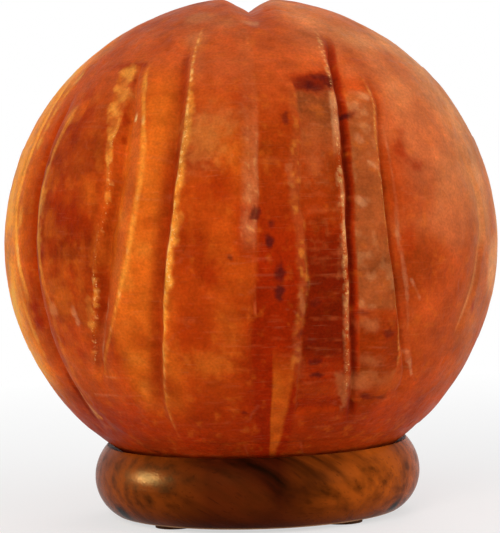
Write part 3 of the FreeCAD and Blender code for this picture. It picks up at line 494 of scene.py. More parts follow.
def paint_lines(ball):
    """Dark channels, painted shade over their darker red, and the golden strips, a painted glow
    where light shows through the thin lips.
    """
    tint, finish = ball.tint, ball.finish
    places, lat = ball.places, ball.latitude
    fine = chips(places, (0.75, 0.75, 1.1))

    def strip(line, low, high, colour, weight, soft=0.5, wander=0.35, sparkle=0):
        mask = between(ball.past(line, wander), low, high, soft) * ball.along(line)
        tint(colour, weight * mask * (1 + sparkle * fine))
        return mask

    def sparkle(line, low, high, weight, threshold):
        """A broken golden line of painted glints, with pale ones among them."""
        mask = between(ball.past(line, 0.5), low, high, 0.25) * ball.along(line)
        tint(GOLD, 0.8 * weight * mask * ramp(fine + chips(places, 3), -0.4, 0.4))
        tint(CREAM, 0.5 * weight * mask * ramp(fine, threshold, threshold + 0.5))
        finish(0.4, 0.9, mask)

    # dark strips are painted shade in the channels over their darker red; gold strips are painted
    # glow and glints
    strip("left_valley", -2.8, 1.2, UMBER, 0.8 - 0.5 * ramp(lat, 12, 26), 1.6)
    strip("left_valley", -0.6, 1.7, RED, 0.5, 0.7)
    strip("far_left_lip", 0.3, 2.6, RED, 0.35, 0.6, sparkle=0.2)
    strip("far_left_lip", 0.4, 1.5, DEEP, 0.2, 0.5)
    sparkle("far_left_lip", -0.8, 0.4, 0.65, 0.3)
    strip("side_valley", -1.8, 1.8, RED, 0.35, 1.2)
    # painted glints along the side lip, and painted warm light along the left limb
    strip("side_lip", -1, 0.9, GOLD, 0.15 + 0.35 * ramp(lat, -14, 2), sparkle=0.5)
    strip("side_rim", -0.9, 1.2, 1.2 * GOLD, 0.8, sparkle=0.4)
    strip("side_rim", 1.8, 3.6, SALMON, 0.5, 0.6)
    strip("right_valley", -2, 1.8, RED, 0.85, 0.5)
    strip("right_valley", -1.2, 0.9, DEEP, 0.6, 0.5)
    strip("far_right_valley", -0.6, 0.7, UMBER, 0.6, 0.4)

    # the golden strip along the left lip is a painted glow, its cream edge painted glints
    lip, length = ball.past("left_lip", 0.25), ball.along("left_lip", 8, 5)
    widths = 1.5 + 0.7 * between(lat, -8, 8, 4)
    widths += 0.6 * between(lat, 12, 30, 5)
    widths -= 0.8 * ramp(lat, -12, -22) + 0.9 * ramp(lat, 24, 38)
    widths += 0.9 * chips(places, 3) + 0.5 * chips(places, 1.3)
    gold = ramp(lip, -0.2, 0.2) * (1 - ramp(lip, widths - 1.2, widths + 1.2))
    gold *= length * (0.45 + 0.55 * ramp(lat, -30, -10))
    gold *= 1 - 0.35 * ramp(lat, 24, 40)
    tint(1.1 * GOLD, gold * (0.9 + 0.4 * fine))
    rim = between(lip, -0.1, 0.7, 0.25) * length
    rim *= 0.4 + 0.6 * ramp(lat, -24, -6)
    tint(CREAM, 0.55 * rim * ramp(fine + 0.6 * chips(places, 4), -0.1, 0.6))
    finish(0.36, 1, gold)

    # a painted highlight along the far-left ridge, with painted glints
    ridge = strip("far_left_ridge", -0.4, 1, GOLD, 0.3 + 0.25 * ramp(lat, -22, -6),
                  sparkle=0.6)
    tint(CREAM, 0.3 * ridge * ramp(chips(places, (1, 1, 3)), 0.3, 0.7))
    strip("far_left_ridge", -4.4, -0.8, SALMON, 0.5, 0.9)
    # painted glow on the panel's lips, with painted glints
    edge = strip("panel_left", -2.2, 0.5, TAN, 0.3, 0.8, 0.9)
    tint(GOLD, 0.35 * edge * ramp(chips(places, 1.5) + 0.7 * fine, 0, 0.9))
    edge = ball.past("panel_right", 0.2)
    tint(PEACH, 0.5 * between(edge, -1.9, 0, 0.4) * between(lat, 20, 36, 2))
    edge = between(edge, -1.4, 0.1, 0.5) * ball.along("panel_right")
    tint(PEACH, 0.5 * edge * ramp(fine + 0.8 * chips(places, 4), -0.6, 0.4))
    tint(CREAM, 0.32 * edge * ramp(fine + 0.5 * chips(places, 5), 0.2, 0.8))
    finish(0.4, 0.9, edge)
    sparkle("far_right_line", -0.5, 0.3, 0.4, 0.1)
    strip("side_right_line", -0.3, 0.5, PEACH, 0.7, 0.4)

    inside = ramp(ball.past("wedge_left", 0.15), -0.2, 0.3)
    inside *= ramp(ball.past("wedge_right", 0.6), 0.2, -1.2)
    inside *= ball.along("wedge_left", 3, 6)
    tint(AMBER, 0.6 * inside * (1 + 0.3 * patches(places, 3)))


def paint_panels(ball):
    """The recessed panel, the planks to its right, and those of the far left."""
    tint, shade, finish = ball.tint, ball.shade, ball.finish
    places, az, lat = ball.places, ball.azimuth, ball.latitude
    fine = patches(places, (1.1, 1.1, 1.6))
    rows = streaks(places, (9, 9, 0.9))
    upright = streaks(places, (1.3, 1.3, 8))

    panel = ramp(ball.past("panel_left"), -0.2, 0.9)
    panel *= ramp(ball.past("panel_right"), -1, -1.6)
    panel *= between(lat, -38, 37, 1.2)
    tint(TAN, 0.7 * panel * ramp(lat, 14, 26))
    # painted shade under the ledge at the panel's top
    shade(0.52, panel * ramp(lat, 20, 32))
    tint(UMBER, 0.8 * panel * ramp(lat, 24, 10))
    tint(RED, 0.7 * panel * ramp(lat, 14, -2))
    tint(DEEP, 0.7 * panel * between(lat, -25, 3, 4))
    tint(SALMON, 0.2 * panel * ramp(rows, 0.25, 0.7))
    tint(TAN, 0.35 * panel * ramp(fine, 0.2, 0.8) * ramp(lat, -10, 10))
    finish(0.45, 0.6, panel)

    plank = ramp(ball.past("right_valley"), 1.6, 2.4)
    plank *= ramp(ball.past("far_right_line"), 0.2, -0.6)
    upper = plank * between(lat, -14, 34.5, 1)
    tint(TAN, 0.85 * upper)
    tint(PEACH, 0.45 * upper * ramp(patches(places, 3) + 0.5 * fine, 0.1, 0.8))
    tint(UMBER, 0.35 * upper * ramp(-patches(places, 3.6) + 0.4 * upright, 0.1, 0.8))
    shade(0.8, upper * ramp(lat, 14, -6))
    tint(RED, 0.6 * plank * between(lat, -29, -15.5, 2.5))
    worn = ramp(patches(places + 2, 3.5), 0, 0.6)
    tint(TAN, 0.5 * plank * between(lat, -34, -14, 2) * worn)
    shade(np.array([0.76, 0.94, 1]), plank * between(lat, -36, -16, 2))
    finish(0.7, 0.66, upper)

    side = between(az, -56, -35, 2) * between(lat, -32, 40, 6)
    shade(0.84, side * between(lat, -14, 30, 10))
    tint(BROWN, 0.7 * side * ramp(patches(places, 4) + 0.4 * upright, -0.1, 0.6))
    tint(AMBER, 0.4 * side * ramp(chips(places + 44, 4.5), 0.2, 0.7))
    tint(RED, 0.45 * side * ramp(-patches(places, 5) - 0.3 * upright, 0, 0.7))
    plank = between(az, -31, -20, 2) * between(lat, -34, 38, 5)
    tint(GOLD, 0.3 * plank * ramp(patches(places, 5), 0.1, 0.7) * ramp(lat, 30, 0))
    tint(ORANGE, 0.45 * plank * ramp(-patches(places, 4), 0.1, 0.7))


def paint_back(ball):
    """Planks, dark channels and golden lips of the sides that the photograph doesn't show."""
    tint, finish = ball.tint, ball.finish
    places = ball.places
    back = ramp(np.abs(ball.azimuth), 88, 104)
    tint(AMBER, 0.5 * back * ramp(patches(places, 32), -0.2, 0.5))
    mottles = patches.layered(places + 70, 16)
    tint(PEACH, 0.35 * back * ramp(mottles, 0, 0.6))
    tint(UMBER, 0.5 * back * ramp(-mottles, 0, 0.6))
    tint(SALMON, 0.5 * back * ramp(-patches(places + 50, 36), -0.1, 0.6))
    # as on the front: a painted pale reflection towards the top, painted shade towards the bottom
    tint(ROSE, 0.6 * back * ramp(ball.latitude, 46, 64))
    tint(RED, 0.7 * back * ramp(ball.latitude, -26, -52))
    for name, cut in PLANE_CUTS.items():
        if name == "crown":
            continue
        left, right = cut[4:6]
        side, share = plane_cut(ball, *cut)[1:]
        here = ramp(share, 0, 0.35) * (ball.outward @ deepest_direction(cut) > 0)
        steep = 1 if right < left else -1
        # painted shade in the cut's channel
        tint(RED, 0.8 * here * between(side, -2, 2, 0.9))
        lip = side * steep - min(left, right)
        width = 1.5 + 1.2 * chips(places, 6) + 0.6 * chips(places, 1.6)
        strip = ramp(lip, -0.4, 0.1) * (1 - ramp(lip, width - 0.9, width + 0.9)) * here
        strip *= 0.35 + 0.65 * ramp(patches(places + 90, 13), -0.5, 0.2)
        # a painted glow on the lip, with painted glints
        tint(GOLD, 0.9 * strip * (0.8 + 0.4 * chips(places, (0.8, 0.8, 1.2))))
        tint(CREAM, 0.4 * strip * ramp(chips(places, (0.75, 0.75, 1.1)), 0.2, 0.7))
        finish(0.4, 0.9, strip)
        plank = between(-side * steep, 2, max(left, right), 0.8) * here
        tint(TAN, 0.4 * plank * ramp(streaks(places, (1.3, 1.3, 8)), 0, 0.7))


def deepest_direction(cut):
    """From the ball's middle to where a cut is deepest."""
    turn, middle = math.radians(cut[0]), math.radians(cut[6])
    return np.array([math.sin(turn) * math.cos(middle), -math.cos(turn) * math.cos(middle),
                     math.sin(middle)])


def paint_marks(ball):
    """Mottling all over, then the soft spots, strokes, dark inclusions and thin cross lines."""
    tint, shade = ball.tint, ball.shade
    places, az, lat = ball.places, ball.azimuth, ball.latitude
    shade(1.12, ramp(patches(places, 17), 0, 0.8))
    shade(0.88, ramp(-patches(places, 15), 0, 0.8))
    mottles = patches.layered(places + 30, 6)
    shade(1.16, ramp(mottles, 0, 0.6))
    shade(0.82, ramp(-mottles, 0, 0.6))
    shade(np.array([1.05, 0.97, 0.8]), np.ones(mottles.shape))
    shade(1.10, ramp(streaks.layered(places, (4, 4, 0.9)), 0.1, 0.6))
    shade(0.86, between(az, -17, 34, 3) * ramp(lat, 40, 20))
    tint(SALMON, 0.25 * ramp(streaks.layered(places, (6, 6, 1.2)), 0.2, 0.7))
    crumbs = patches.layered(places + 55, 2.6)
    plain = 1 - 0.8 * between(az, 11, 21, 1) * between(lat, -36, 6, 4)
    tint(AMBER, 0.30 * plain * ramp(crumbs, 0.1, 0.7))
    shade(0.86, ramp(-crumbs, 0.1, 0.7))
    # soft spots and strokes, some of them painted glints, highlights and warm light
    for *oval, colour, strength in CLOUDS:
        tint(colour, strength * ball.spot(*oval, 0.8))
    for *course, colour, strength in STROKES:
        tint(colour, strength * ball.stroke(*course))
    # dark inclusions, and a painted shadow under the panel's ledge
    for *place, width, height, strength in SPOTS:
        tint(RED, 0.6 * strength * ball.spot(*place, 1.7 * width, 1.7 * height, 0.7))
        tint(MAROON, strength * ball.spot(*place, width, height, 0.5))
    thin = ramp(np.abs(streaks(places + 60, (16, 16, 3))), 0.05, 0)
    tint(PEACH, 0.08 * thin * ramp(patches(places + 12, 12), 0, 0.5))


def crystal_rows():
    """Heights and radii of the flat underside, the bore and its domed end, from the rim inward."""
    top = SEAT + BORE_DEPTH
    rows = [(radius, SEAT) for radius in np.linspace(FLAT_RADIUS, BORE_RADIUS, 9)[1:-1]]
    rows += [(BORE_RADIUS, z) for z in np.linspace(SEAT, top - BORE_CORNER, 61)]
    for angle in np.linspace(0.0, math.pi / 2, 9)[1:]:
        rows.append((BORE_RADIUS - BORE_CORNER * (1 - math.cos(angle)),
                     top - BORE_CORNER * (1 - math.sin(angle))))
    rows += [(radius, top) for radius in np.linspace(BORE_RADIUS - BORE_CORNER, 0.0, 6)[1:-1]]
    return rows


def make_crystal():
    """The carved ball: its grid outside, turned rings for the flat and the bore, and its paint."""
    ball = Ball(*GRID)
    carve(ball)
    paint_front(ball)
    paint_back(ball)
    paint_panels(ball)
    paint_lines(ball)
    paint_marks(ball)

    columns = len(ball.turns)
    outer = ball.outward * (BALL_RADIUS - np.maximum(ball.bite, 0.0))[..., None]
    outer = outer.reshape(-1, 3) + (0.0, 0.0, CENTRE)
    outer[:, 2] = np.maximum(outer[:, 2], SEAT)
    rings, inner_paint = [], []
    for radius, height in crystal_rows():
        drilled = 0.12 * math.sin(height * 4.0) if height > SEAT else 0.0
        ring = np.stack([np.sin(ball.turns), -np.cos(ball.turns), np.zeros(columns)], axis=-1)
        ring *= radius + drilled
        ring[:, 2] = height
        rings.append(ring)
        inner_paint.append(SALMON + (PEACH - SALMON) * patches(ring, 12.0)[:, None])
    rings = np.concatenate(rings)
    rise = np.max(outer[:columns, 2])
    poles = np.array([[0.0, 0.0, rise], [0.0, 0.0, SEAT + BORE_DEPTH]])
    vertices = np.concatenate([outer, rings, poles]) * MM

    row_count = len(vertices[:-2]) // columns
    index = np.arange(row_count * columns).reshape(row_count, columns)
    near, far = index[:-1], index[1:]
    quads = np.stack([near, far, np.roll(far, -1, axis=1), np.roll(near, -1, axis=1)], axis=-1)
    first, last = index[0], index[-1]
    top, bottom = len(vertices) - 2, len(vertices) - 1
    caps = [(top, a, b) for a, b in zip(first, np.roll(first, -1))]
    caps += [(bottom, b, a) for a, b in zip(last, np.roll(last, -1))]
    mesh = bpy.data.meshes.new("salt_crystal_surface")
    mesh.from_pydata(vertices.tolist(), [], quads.reshape(-1, 4).tolist() + caps)
    mesh.polygons.foreach_set("use_smooth", np.ones(len(mesh.polygons), dtype=bool))

    inner = np.concatenate(inner_paint)
    paint = np.concatenate([ball.paint.reshape(-1, 3), inner, ball.paint[0, :1], inner[-1:]])
    paint = np.concatenate([np.clip(paint, 0.0, 1.0), np.ones((len(paint), 1))], axis=1)
    layer = mesh.color_attributes.new("paint", "FLOAT_COLOR", "POINT")
    layer.data.foreach_set("color", paint.ravel())
    for name, values, inside in (("rough", ball.rough, 0.6), ("grit_and_glints", ball.grit_and_glints, 0.4)):
        values = np.concatenate([values.ravel(), np.full(len(inner) + 2, inside)])
        mesh.attributes.new(name, "FLOAT", "POINT").data.foreach_set("value", values)
    return mesh


# ---------------------------------------------------------------- materials
class Nodes:
    """A tree of nodes under construction. A value may be a number, a colour or another socket."""

    def __init__(self, tree):
        self.tree = tree

    def join(self, value, socket):
        if isinstance(value, bpy.types.NodeSocket):
            self.tree.links.new(value, socket)
        elif socket.type == "RGBA":
            socket.default_value = (*value, 1.0)
        else:
            socket.default_value = value

    def add(self, kind, inputs=None, **properties):
        made = self.tree.nodes.new(kind)
        for name, value in properties.items():
            setattr(made, name, value)
        for name, value in (inputs or {}).items():
            self.join(value, made.inputs[name])
        return made

    def math(self, operation, first, second=0.0):
        return self.add("ShaderNodeMath", {0: first, 1: second}, operation=operation).outputs[0]

    def vector(self, operation, inputs, output=0):
        return self.add("ShaderNodeVectorMath", inputs, operation=operation).outputs[output]

    def span(self, value, low, high, start=0.0, end=1.0):
        """Takes low to start and high to end, and holds both ends."""
        made = self.add("ShaderNodeMapRange", {"Value": value, "From Min": low, "From Max": high,
                                               "To Min": start, "To Max": end})
        return made.outputs[0]

    def mix(self, share, first, second):
        """The first colour turned into the second by this share."""
        return self.add("ShaderNodeMix", {0: share, 6: first, 7: second},
                        data_type="RGBA").outputs[2]

    def combine(self, **axes):
        return self.add("ShaderNodeCombineXYZ", axes).outputs[0]

    def seen_directly(self):
        """1 for rays from the camera, a mirror or glass, and 0 for light that falls on things."""
        rays = self.add("ShaderNodeLightPath").outputs
        mirrored = self.math("MAXIMUM", rays["Is Camera Ray"], rays["Is Glossy Ray"])
        return self.math("MAXIMUM", mirrored, rays["Is Transmission Ray"])


class Finish(Nodes):
    """A material, with its shader and the piece's own coordinates."""

    def __init__(self, name, **settings):
        self.material = bpy.data.materials.new(name)
        self.material.use_nodes = True
        super().__init__(self.material.node_tree)
        self.shader = self.tree.nodes["Principled BSDF"]
        self.place = self.add("ShaderNodeTexCoord").outputs["Object"]
        for setting, value in settings.items():
            self.set(setting.replace("_", " ").title().replace("Ior", "IOR"), value)

    def set(self, name, value):
        self.join(value, self.shader.inputs[name])

    def noise(self, scale, stretch=(1, 1, 1), detail=3.0, place=None):
        """Noise with this many grains a metre, longer where the stretch is below 1."""
        scaled = self.add("ShaderNodeMapping", {"Vector": place or self.place, "Scale": stretch})
        made = self.add("ShaderNodeTexNoise", {"Vector": scaled.outputs[0], "Scale": scale,
                                               "Detail": detail})
        return made.outputs[0]

    def value(self, name):
        return self.add("ShaderNodeAttribute", attribute_name=name).outputs["Fac"]

    def bump(self, height, depth, strength):
        """Roughens the surface by a height of this depth in metres."""
        made = self.add("ShaderNodeBump", {"Height": height, "Distance": depth,
                                           "Strength": strength})
        normal = self.shader.inputs["Normal"]
        if normal.is_linked:
            self.join(normal.links[0].from_socket, made.inputs["Normal"])
        self.join(made.outputs[0], normal)


def salt_finish():
    """The painted colours under fine grain, pale scratches and painted glints of highlight, a
    little translucent.
    """
    made = Finish("rock_salt", subsurface_weight=0.2, subsurface_scale=0.003,
                  specular_ior_level=0.03, specular_tint=(1.0, 0.5, 0.25))
    made.set("Subsurface Radius", (1.0, 0.35, 0.12))
    paint = made.add("ShaderNodeAttribute", attribute_name="paint").outputs["Color"]
    grit_and_glints = made.value("grit_and_glints")
    grain = made.span(made.noise(1400.0, detail=4.0), 0.3, 0.7, 0.86, 1.14)
    cloud = made.noise(260.0, detail=6.0)
    shade = made.math("MULTIPLY", grain, made.span(cloud, 0.3, 0.7, 0.90, 1.10))
    colour = made.vector("SCALE", {0: paint, "Scale": shade})
    scratch = made.noise(800.0, (0.22, 0.22, 3.0), 2.0)
    colour = made.mix(made.span(scratch, 0.62, 0.8, 0.0, 0.12), colour, PEACH)
    # painted glints: small pale highlights put into the colour on the gritty lips
    glint = made.span(made.noise(1700.0, detail=1.0), 0.60, 0.70)
    glint = made.math("MULTIPLY", glint, made.span(grit_and_glints, 0.72, 1.0, 0.0, 0.7))
    made.set("Base Color", made.mix(glint, colour, CREAM))
    rough = made.math("ADD", made.value("rough"), made.span(cloud, 0.3, 0.7, -0.12, 0.12))
    made.set("Roughness", made.span(rough, 0.0, 1.0))
    crumbs = made.noise(1100.0, detail=5.0)
    made.bump(made.math("MULTIPLY", crumbs, grit_and_glints), 0.0009, 0.5)
    made.bump(made.noise(330.0, detail=4.0), 0.0008, 0.3)
    return made.material


# A painted shadow at the base's lower corners, two dark marks in the wood: how far out to each
# side, to the front and up.
CORNER_SHADOW = (0.0398, 0.0240, 0.0042)


def wood_finish():
    """Turned hardwood with slanting grain, darker in the middle, a painted shadow at its lower
    corners, under thin varnish.
    """
    made = Finish("varnished_wood", specular_ior_level=0.02, specular_tint=(1.0, 0.7, 0.32))
    tilt = (0.0, math.radians(-24.0), 0.0)
    turned = made.add("ShaderNodeMapping", {"Vector": made.place, "Rotation": tilt}).outputs[0]
    warp = made.noise(17.0, (0.5, 1, 1), 2.0)
    bend = made.combine(Y=made.span(warp, 0.0, 1.0, -0.010, 0.010),
                        Z=made.span(warp, 0.0, 1.0, -0.012, 0.012))
    warped = made.vector("ADD", {0: turned, 1: bend})
    grain = made.noise(300.0, (0.07, 1, 1), 6.0, warped)
    bands = made.noise(70.0, (0.14, 1, 1), 3.0, warped)
    pores = made.noise(1700.0, (0.07, 1, 1), 2.0, warped)
    place = made.add("ShaderNodeSeparateXYZ", {0: made.place}).outputs
    ends = made.span(made.math("ABSOLUTE", made.math("ADD", place["X"], 0.004)), 0.010, 0.036)
    ends = made.math("MULTIPLY", ends, made.span(grain, 0.3, 0.6, 0.3, 1.0))
    slant = made.math("SUBTRACT", place["X"], made.math("MULTIPLY", place["Z"], 1.33))
    wander = made.span(warp, 0.3, 0.7, -0.005, 0.007)
    streak = made.math("ABSOLUTE", made.math("ADD", slant, wander))
    to_corner_shadow = made.combine(X=made.math("SUBTRACT", made.math("ABSOLUTE", place["X"]), CORNER_SHADOW[0]),
                           Y=made.math("ADD", place["Y"], CORNER_SHADOW[1]),
                           Z=made.math("SUBTRACT", place["Z"], CORNER_SHADOW[2]))
    corner_shadow = made.math("ADD", made.vector("LENGTH", {0: to_corner_shadow}, "Value"),
                     made.span(bands, 0.3, 0.7, -0.0006, 0.0006))
    colour = made.mix(made.span(grain, 0.32, 0.68), linear(22, 5, 1), linear(66, 19, 4))
    for share, stain in (
            (made.span(bands, 0.50, 0.64, 0.0, 0.35), linear(112, 46, 12)),
            (made.math("MULTIPLY", ends, 0.75), linear(166, 78, 18)),
            (made.span(streak, 0.0, 0.009, 0.35, 0.0), linear(44, 12, 3)),
            (made.span(place["Z"], 0.002, 0.009, 0.5, 0.0), linear(52, 15, 5)),
            (made.span(pores, 0.60, 0.72, 0.0, 0.4), linear(34, 10, 3)),
            # painted shadow at the lower corners
            (made.span(corner_shadow, 0.0016, 0.0040, 0.95, 0.0), linear(12, 6, 4))):
        colour = made.mix(share, colour, stain)
    raw = made.mix(made.span(grain, 0.3, 0.7), linear(150, 100, 62), linear(188, 142, 98))
    made.set("Base Color", made.mix(made.span(place["Z"], 0.0016, 0.0021), raw, colour))
    made.set("Roughness", made.span(grain, 0.3, 0.7, 0.34, 0.22))
    made.bump(pores, 0.00015, 0.25)
    return made.material


def metal_finish(name, colour, rough, brush=(1, 1, 8)):
    """Brushed metal, dulled in clouds."""
    made = Finish(name, metallic=1.0)
    grain = made.noise(900.0, brush, 3.0)
    tarnish = made.noise(160.0, detail=4.0)
    made.set("Base Color", made.mix(made.span(tarnish, 0.35, 0.75), colour, colour * 0.72))
    made.set("Roughness", made.span(grain, 0.3, 0.7, rough - 0.08, rough + 0.12))
    made.bump(grain, 0.00006, 0.4)
    return made.material


def dull_finish(name, colour, rough, grains=700.0, depth=0.0001, spread=0.2):
    """Felt, plastic and ceramic: a grain with this many grains a metre and this depth."""
    made = Finish(name, specular_ior_level=0.3)
    grain = made.noise(grains, detail=4.0)
    made.set("Base Color", made.mix(made.span(grain, 0.3, 0.7), colour * (1 - spread), colour))
    made.set("Roughness", made.span(grain, 0.3, 0.7, rough - 0.05, rough + 0.08))
    made.bump(grain, depth, 0.5)
    return made.material


def glass_finish():
    """Clear glass with faint smears."""
    made = Finish("clear_glass", transmission_weight=1.0, ior=1.45)
    made.set("Base Color", (0.98, 0.99, 0.985))
    smears = made.noise(90.0, detail=3.0)
    made.set("Roughness", made.span(smears, 0.4, 0.8, 0.0, 0.06))
    return made.material


FINISHES = {
    "rock_salt": salt_finish(),
    "varnished_wood": wood_finish(),
    "clear_glass": glass_finish(),
}
for label, colour, *settings in (
        ("zinc_steel", (182, 184, 182), 0.34), ("spring_steel", (158, 158, 162), 0.22),
        ("brass", (214, 176, 96), 0.27), ("cap_metal", (212, 208, 190), 0.25),
        ("solder", (176, 176, 174), 0.42, (1, 1, 1)), ("nickel_wire", (178, 176, 168), 0.3),
        ("tungsten", (96, 94, 92), 0.45)):
    FINISHES[label] = metal_finish(label, linear(*colour), *settings)
for label, colour, *settings in (
        ("felt", (104, 66, 40), 0.95, 2400.0, 0.0006, 0.5),
        ("holder_plastic", (24, 23, 23), 0.36, 500.0, 0.00012, 0.35),
        ("steatite", (226, 221, 206), 0.6), ("black_glass", (20, 20, 24), 0.12, 300.0, 0.00005)):
    FINISHES[label] = dull_finish(label, linear(*colour), *settings)


# ---------------------------------------------------------------- pieces
def put(name, data):
    """Adds an object to the scene."""
    made = bpy.data.objects.new(name, data)
    bpy.context.scene.collection.objects.link(made)
    return made


def piece(name, mesh, body, slot, *replaced):
    """A finer piece that rides on a body and takes the place of these solids."""
    made = put(name, mesh)
    mesh.materials.append(FINISHES[slot])
    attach(made, body)
    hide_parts(*replaced)


def dress_nodes():
    """Gives each solid of the frame its own finish."""
    for part in frame["record"]["subparts"]:
        node = frame["nodes"][part["node"]]
        for place in node.material_slots:
            place.material = FINISHES[part["material_slot"]]


# ---------------------------------------------------------------- turned and wound pieces
def skin(name, rings, joined):
    """A skin over closed rings of places in mm. The last joins the first, or both are capped."""
    rings = np.asarray(rings)
    count, columns = rings.shape[:2]
    index = np.arange(count * columns).reshape(count, columns)
    near = index if joined else index[:-1]
    far = np.roll(index, -1, axis=0) if joined else index[1:]
    quads = np.stack([near, np.roll(near, -1, axis=1), np.roll(far, -1, axis=1), far], axis=-1)
    faces = quads.reshape(-1, 4).tolist()
    if not joined:
        faces += [index[0, ::-1].tolist(), index[-1].tolist()]
    mesh = bpy.data.meshes.new(name)
    mesh.from_pydata((rings.reshape(-1, 3) * MM).tolist(), [], faces)
    mesh.polygons.foreach_set("use_smooth", np.ones(len(faces), dtype=bool))
    mesh.set_sharp_from_angle(angle=math.radians(50.0))
    return mesh


def circle(radius, turns, height):
    """Places round the Z axis, at one radius and height or one for each."""
    return np.stack([radius * np.cos(turns), radius * np.sin(turns),
                     np.broadcast_to(height, turns.shape)], axis=-1)


def threaded_tube(name, outer, inner, ends, steps, columns):
    """A tube on the Z axis. Its outer and inner radii are given by height and turn."""
    heights = np.linspace(*ends, steps)
    turns = np.linspace(0.0, 2 * math.pi, columns, endpoint=False)
    rings = []
    for radius, course in ((inner, heights), (outer, heights[::-1])):
        rings += [circle(radius(height, turns), turns, height) for height in course]
    return skin(name, rings, True)


def thread(height, turns, pitch, ends, fade=1.2):
    """A rolled right-hand thread from -1 to 1 that dies away at both ends."""
    share = np.clip(min(height - ends[0], ends[1] - height) / fade, 0.0, 1.0)
    return share * np.cos(2 * math.pi * height / pitch - turns)


def wire(path, radius, sides):
    """Rings round a line of places, without twist."""
    path = np.asarray(path, dtype=float)
    along = np.gradient(path, axis=0)
    along /= np.linalg.norm(along, axis=1)[:, None]
    side = np.cross(along[0], (0.3, 0.5, 0.8))
    angles = np.linspace(0.0, 2 * math.pi, sides, endpoint=False)
    rings = []
    for place, way in zip(path, along):
        side = side - way * (side @ way)
        side /= np.linalg.norm(side)
        other = np.cross(way, side)
        rings.append(place + radius * (np.cos(angles)[:, None] * side
                                       + np.sin(angles)[:, None] * other))
    return rings


# The bulb's cap with its rolled E14 thread, and the shell that it turns in, with this gap.
BULB_PITCH = 2.822
CAP_ENDS, CAP_RADIUS, CAP_WALL = (49.9, 65.4), 6.85, 0.24
SHELL_ENDS, SHELL_RADIUS, SHELL_WALL = (44.0, 63.0), 7.55, 0.26
CAP_THREAD, SHELL_THREAD = (51.2, 62.6), (50.6, 62.4)
THREAD_GAP = 0.3

# The hollow nipple with its fine thread.
NIPPLE_ENDS, NIPPLE_RADIUS, NIPPLE_BORE = (16.0, 30.5), 4.84, 3.3
NIPPLE_PITCH, NIPPLE_DEPTH, NIPPLE_FADE = 1.0, 0.15, 0.5


def cap_outside(height, turns):
    deep = np.interp(height, (49.9, 51.2, 57.0, 59.0), (0.0, 0.32, 0.32, 0.17))
    wave = thread(height, turns, BULB_PITCH, CAP_THREAD)
    foot = np.interp(height, (49.9, 50.6), (0.45, 0.0))
    return CAP_RADIUS - foot - deep * (1.0 - wave)


def cap_inside(height, turns):
    return cap_outside(height, turns) - CAP_WALL


def shell_inside(height, turns):
    wave = thread(height, turns, BULB_PITCH, SHELL_THREAD)
    deep = np.interp(height, (49.6, 51.2), (0.0, 0.17))
    return CAP_RADIUS + THREAD_GAP - deep * (1.0 - wave)


def shell_outside(height, turns):
    """Plain at the foot, where the solid is, and waved like its inside above."""
    waved = shell_inside(height, turns) + SHELL_WALL
    return waved + (SHELL_RADIUS - waved) * np.interp(height, (49.4, 50.4), (1.0, 0.0))


def nipple_outside(height, turns):
    wave = thread(height, turns, NIPPLE_PITCH, NIPPLE_ENDS, NIPPLE_FADE)
    return NIPPLE_RADIUS + NIPPLE_DEPTH * wave


def nipple_inside(height, turns):
    return NIPPLE_BORE


def toothed_washer():
    """A spring-steel ring whose outer teeth are twisted out of its plane."""
    teeth, steps, half = 16, 8, 0.15
    low, high, inner, root, outer = 25.4, 26.0, 5.25, 6.6, 8.5
    turns = np.linspace(0.0, 2 * math.pi, teeth * steps, endpoint=False)
    tooth = np.clip(1.6 * np.cos(teeth * turns) + 0.4, -1.0, 1.0)
    twist = np.sin(teeth * turns) * (high - low - 2 * half) / 2
    middle = (low + high) / 2
    rings = []
    for above, course in ((1, np.linspace(0.0, 1.0, 7)), (-1, np.linspace(1.0, 0.0, 7))):
        for share in course:
            reach = root + (outer - root) * (tooth + 1.0) / 2
            height = middle + above * half + twist * max(share - 0.4, 0.0) / 0.6
            rings.append(circle(inner + (reach - inner) * share, turns, height))
    return skin("toothed_washer", rings, True)


# A clip as it is drawn in the solid: on its pin, upright, before it leans against the bore.
PIVOT_REACH, PIVOT_HEIGHT = 12.5, 22.8
WIRE_RADIUS, STAND_OFF = 0.58, 1.7
CLIP_LENGTH, CLIP_HALF, CLIP_LEAN = 16.0, 3.8, 0.3165
COIL_HALF, COIL_TURNS = 4.0, 7


def spring_clip(name, side):
    """Seven close turns round the pin, and the loop that presses on the bore's wall."""
    wound = COIL_TURNS * math.pi
    angles = np.linspace(-wound, wound, 24 * COIL_TURNS + 1)
    coil = np.stack([STAND_OFF * np.cos(angles), COIL_HALF * angles / wound,
                     STAND_OFF * np.sin(angles)], axis=-1)
    bend = CLIP_LENGTH - CLIP_HALF
    bow = np.linspace(math.pi, 0.0, 25)
    legs = np.linspace(0.0, bend, 14)[:-1]
    loop = [(STAND_OFF, -CLIP_HALF, z) for z in legs]
    loop += [(STAND_OFF, CLIP_HALF * math.cos(a), bend + CLIP_HALF * math.sin(a)) for a in bow]
    loop += [(STAND_OFF, CLIP_HALF, z) for z in legs[::-1]]
    mesh = skin(name, wire(coil, WIRE_RADIUS, 12), False)
    other = skin(name + "_loop", wire(loop, WIRE_RADIUS, 12), False)
    both = bmesh.new()
    both.from_mesh(mesh)
    both.from_mesh(other)
    both.to_mesh(mesh)
    both.free()
    bpy.data.meshes.remove(other)
    pivot = Matrix.Translation((PIVOT_REACH * side * MM, 0, PIVOT_HEIGHT * MM))
    turn = Matrix.Rotation(0.0 if side > 0 else math.pi, 4, "Z")
    mesh.transform(pivot @ turn @ Matrix.Rotation(CLIP_LEAN, 4, "Y"))
    return mesh


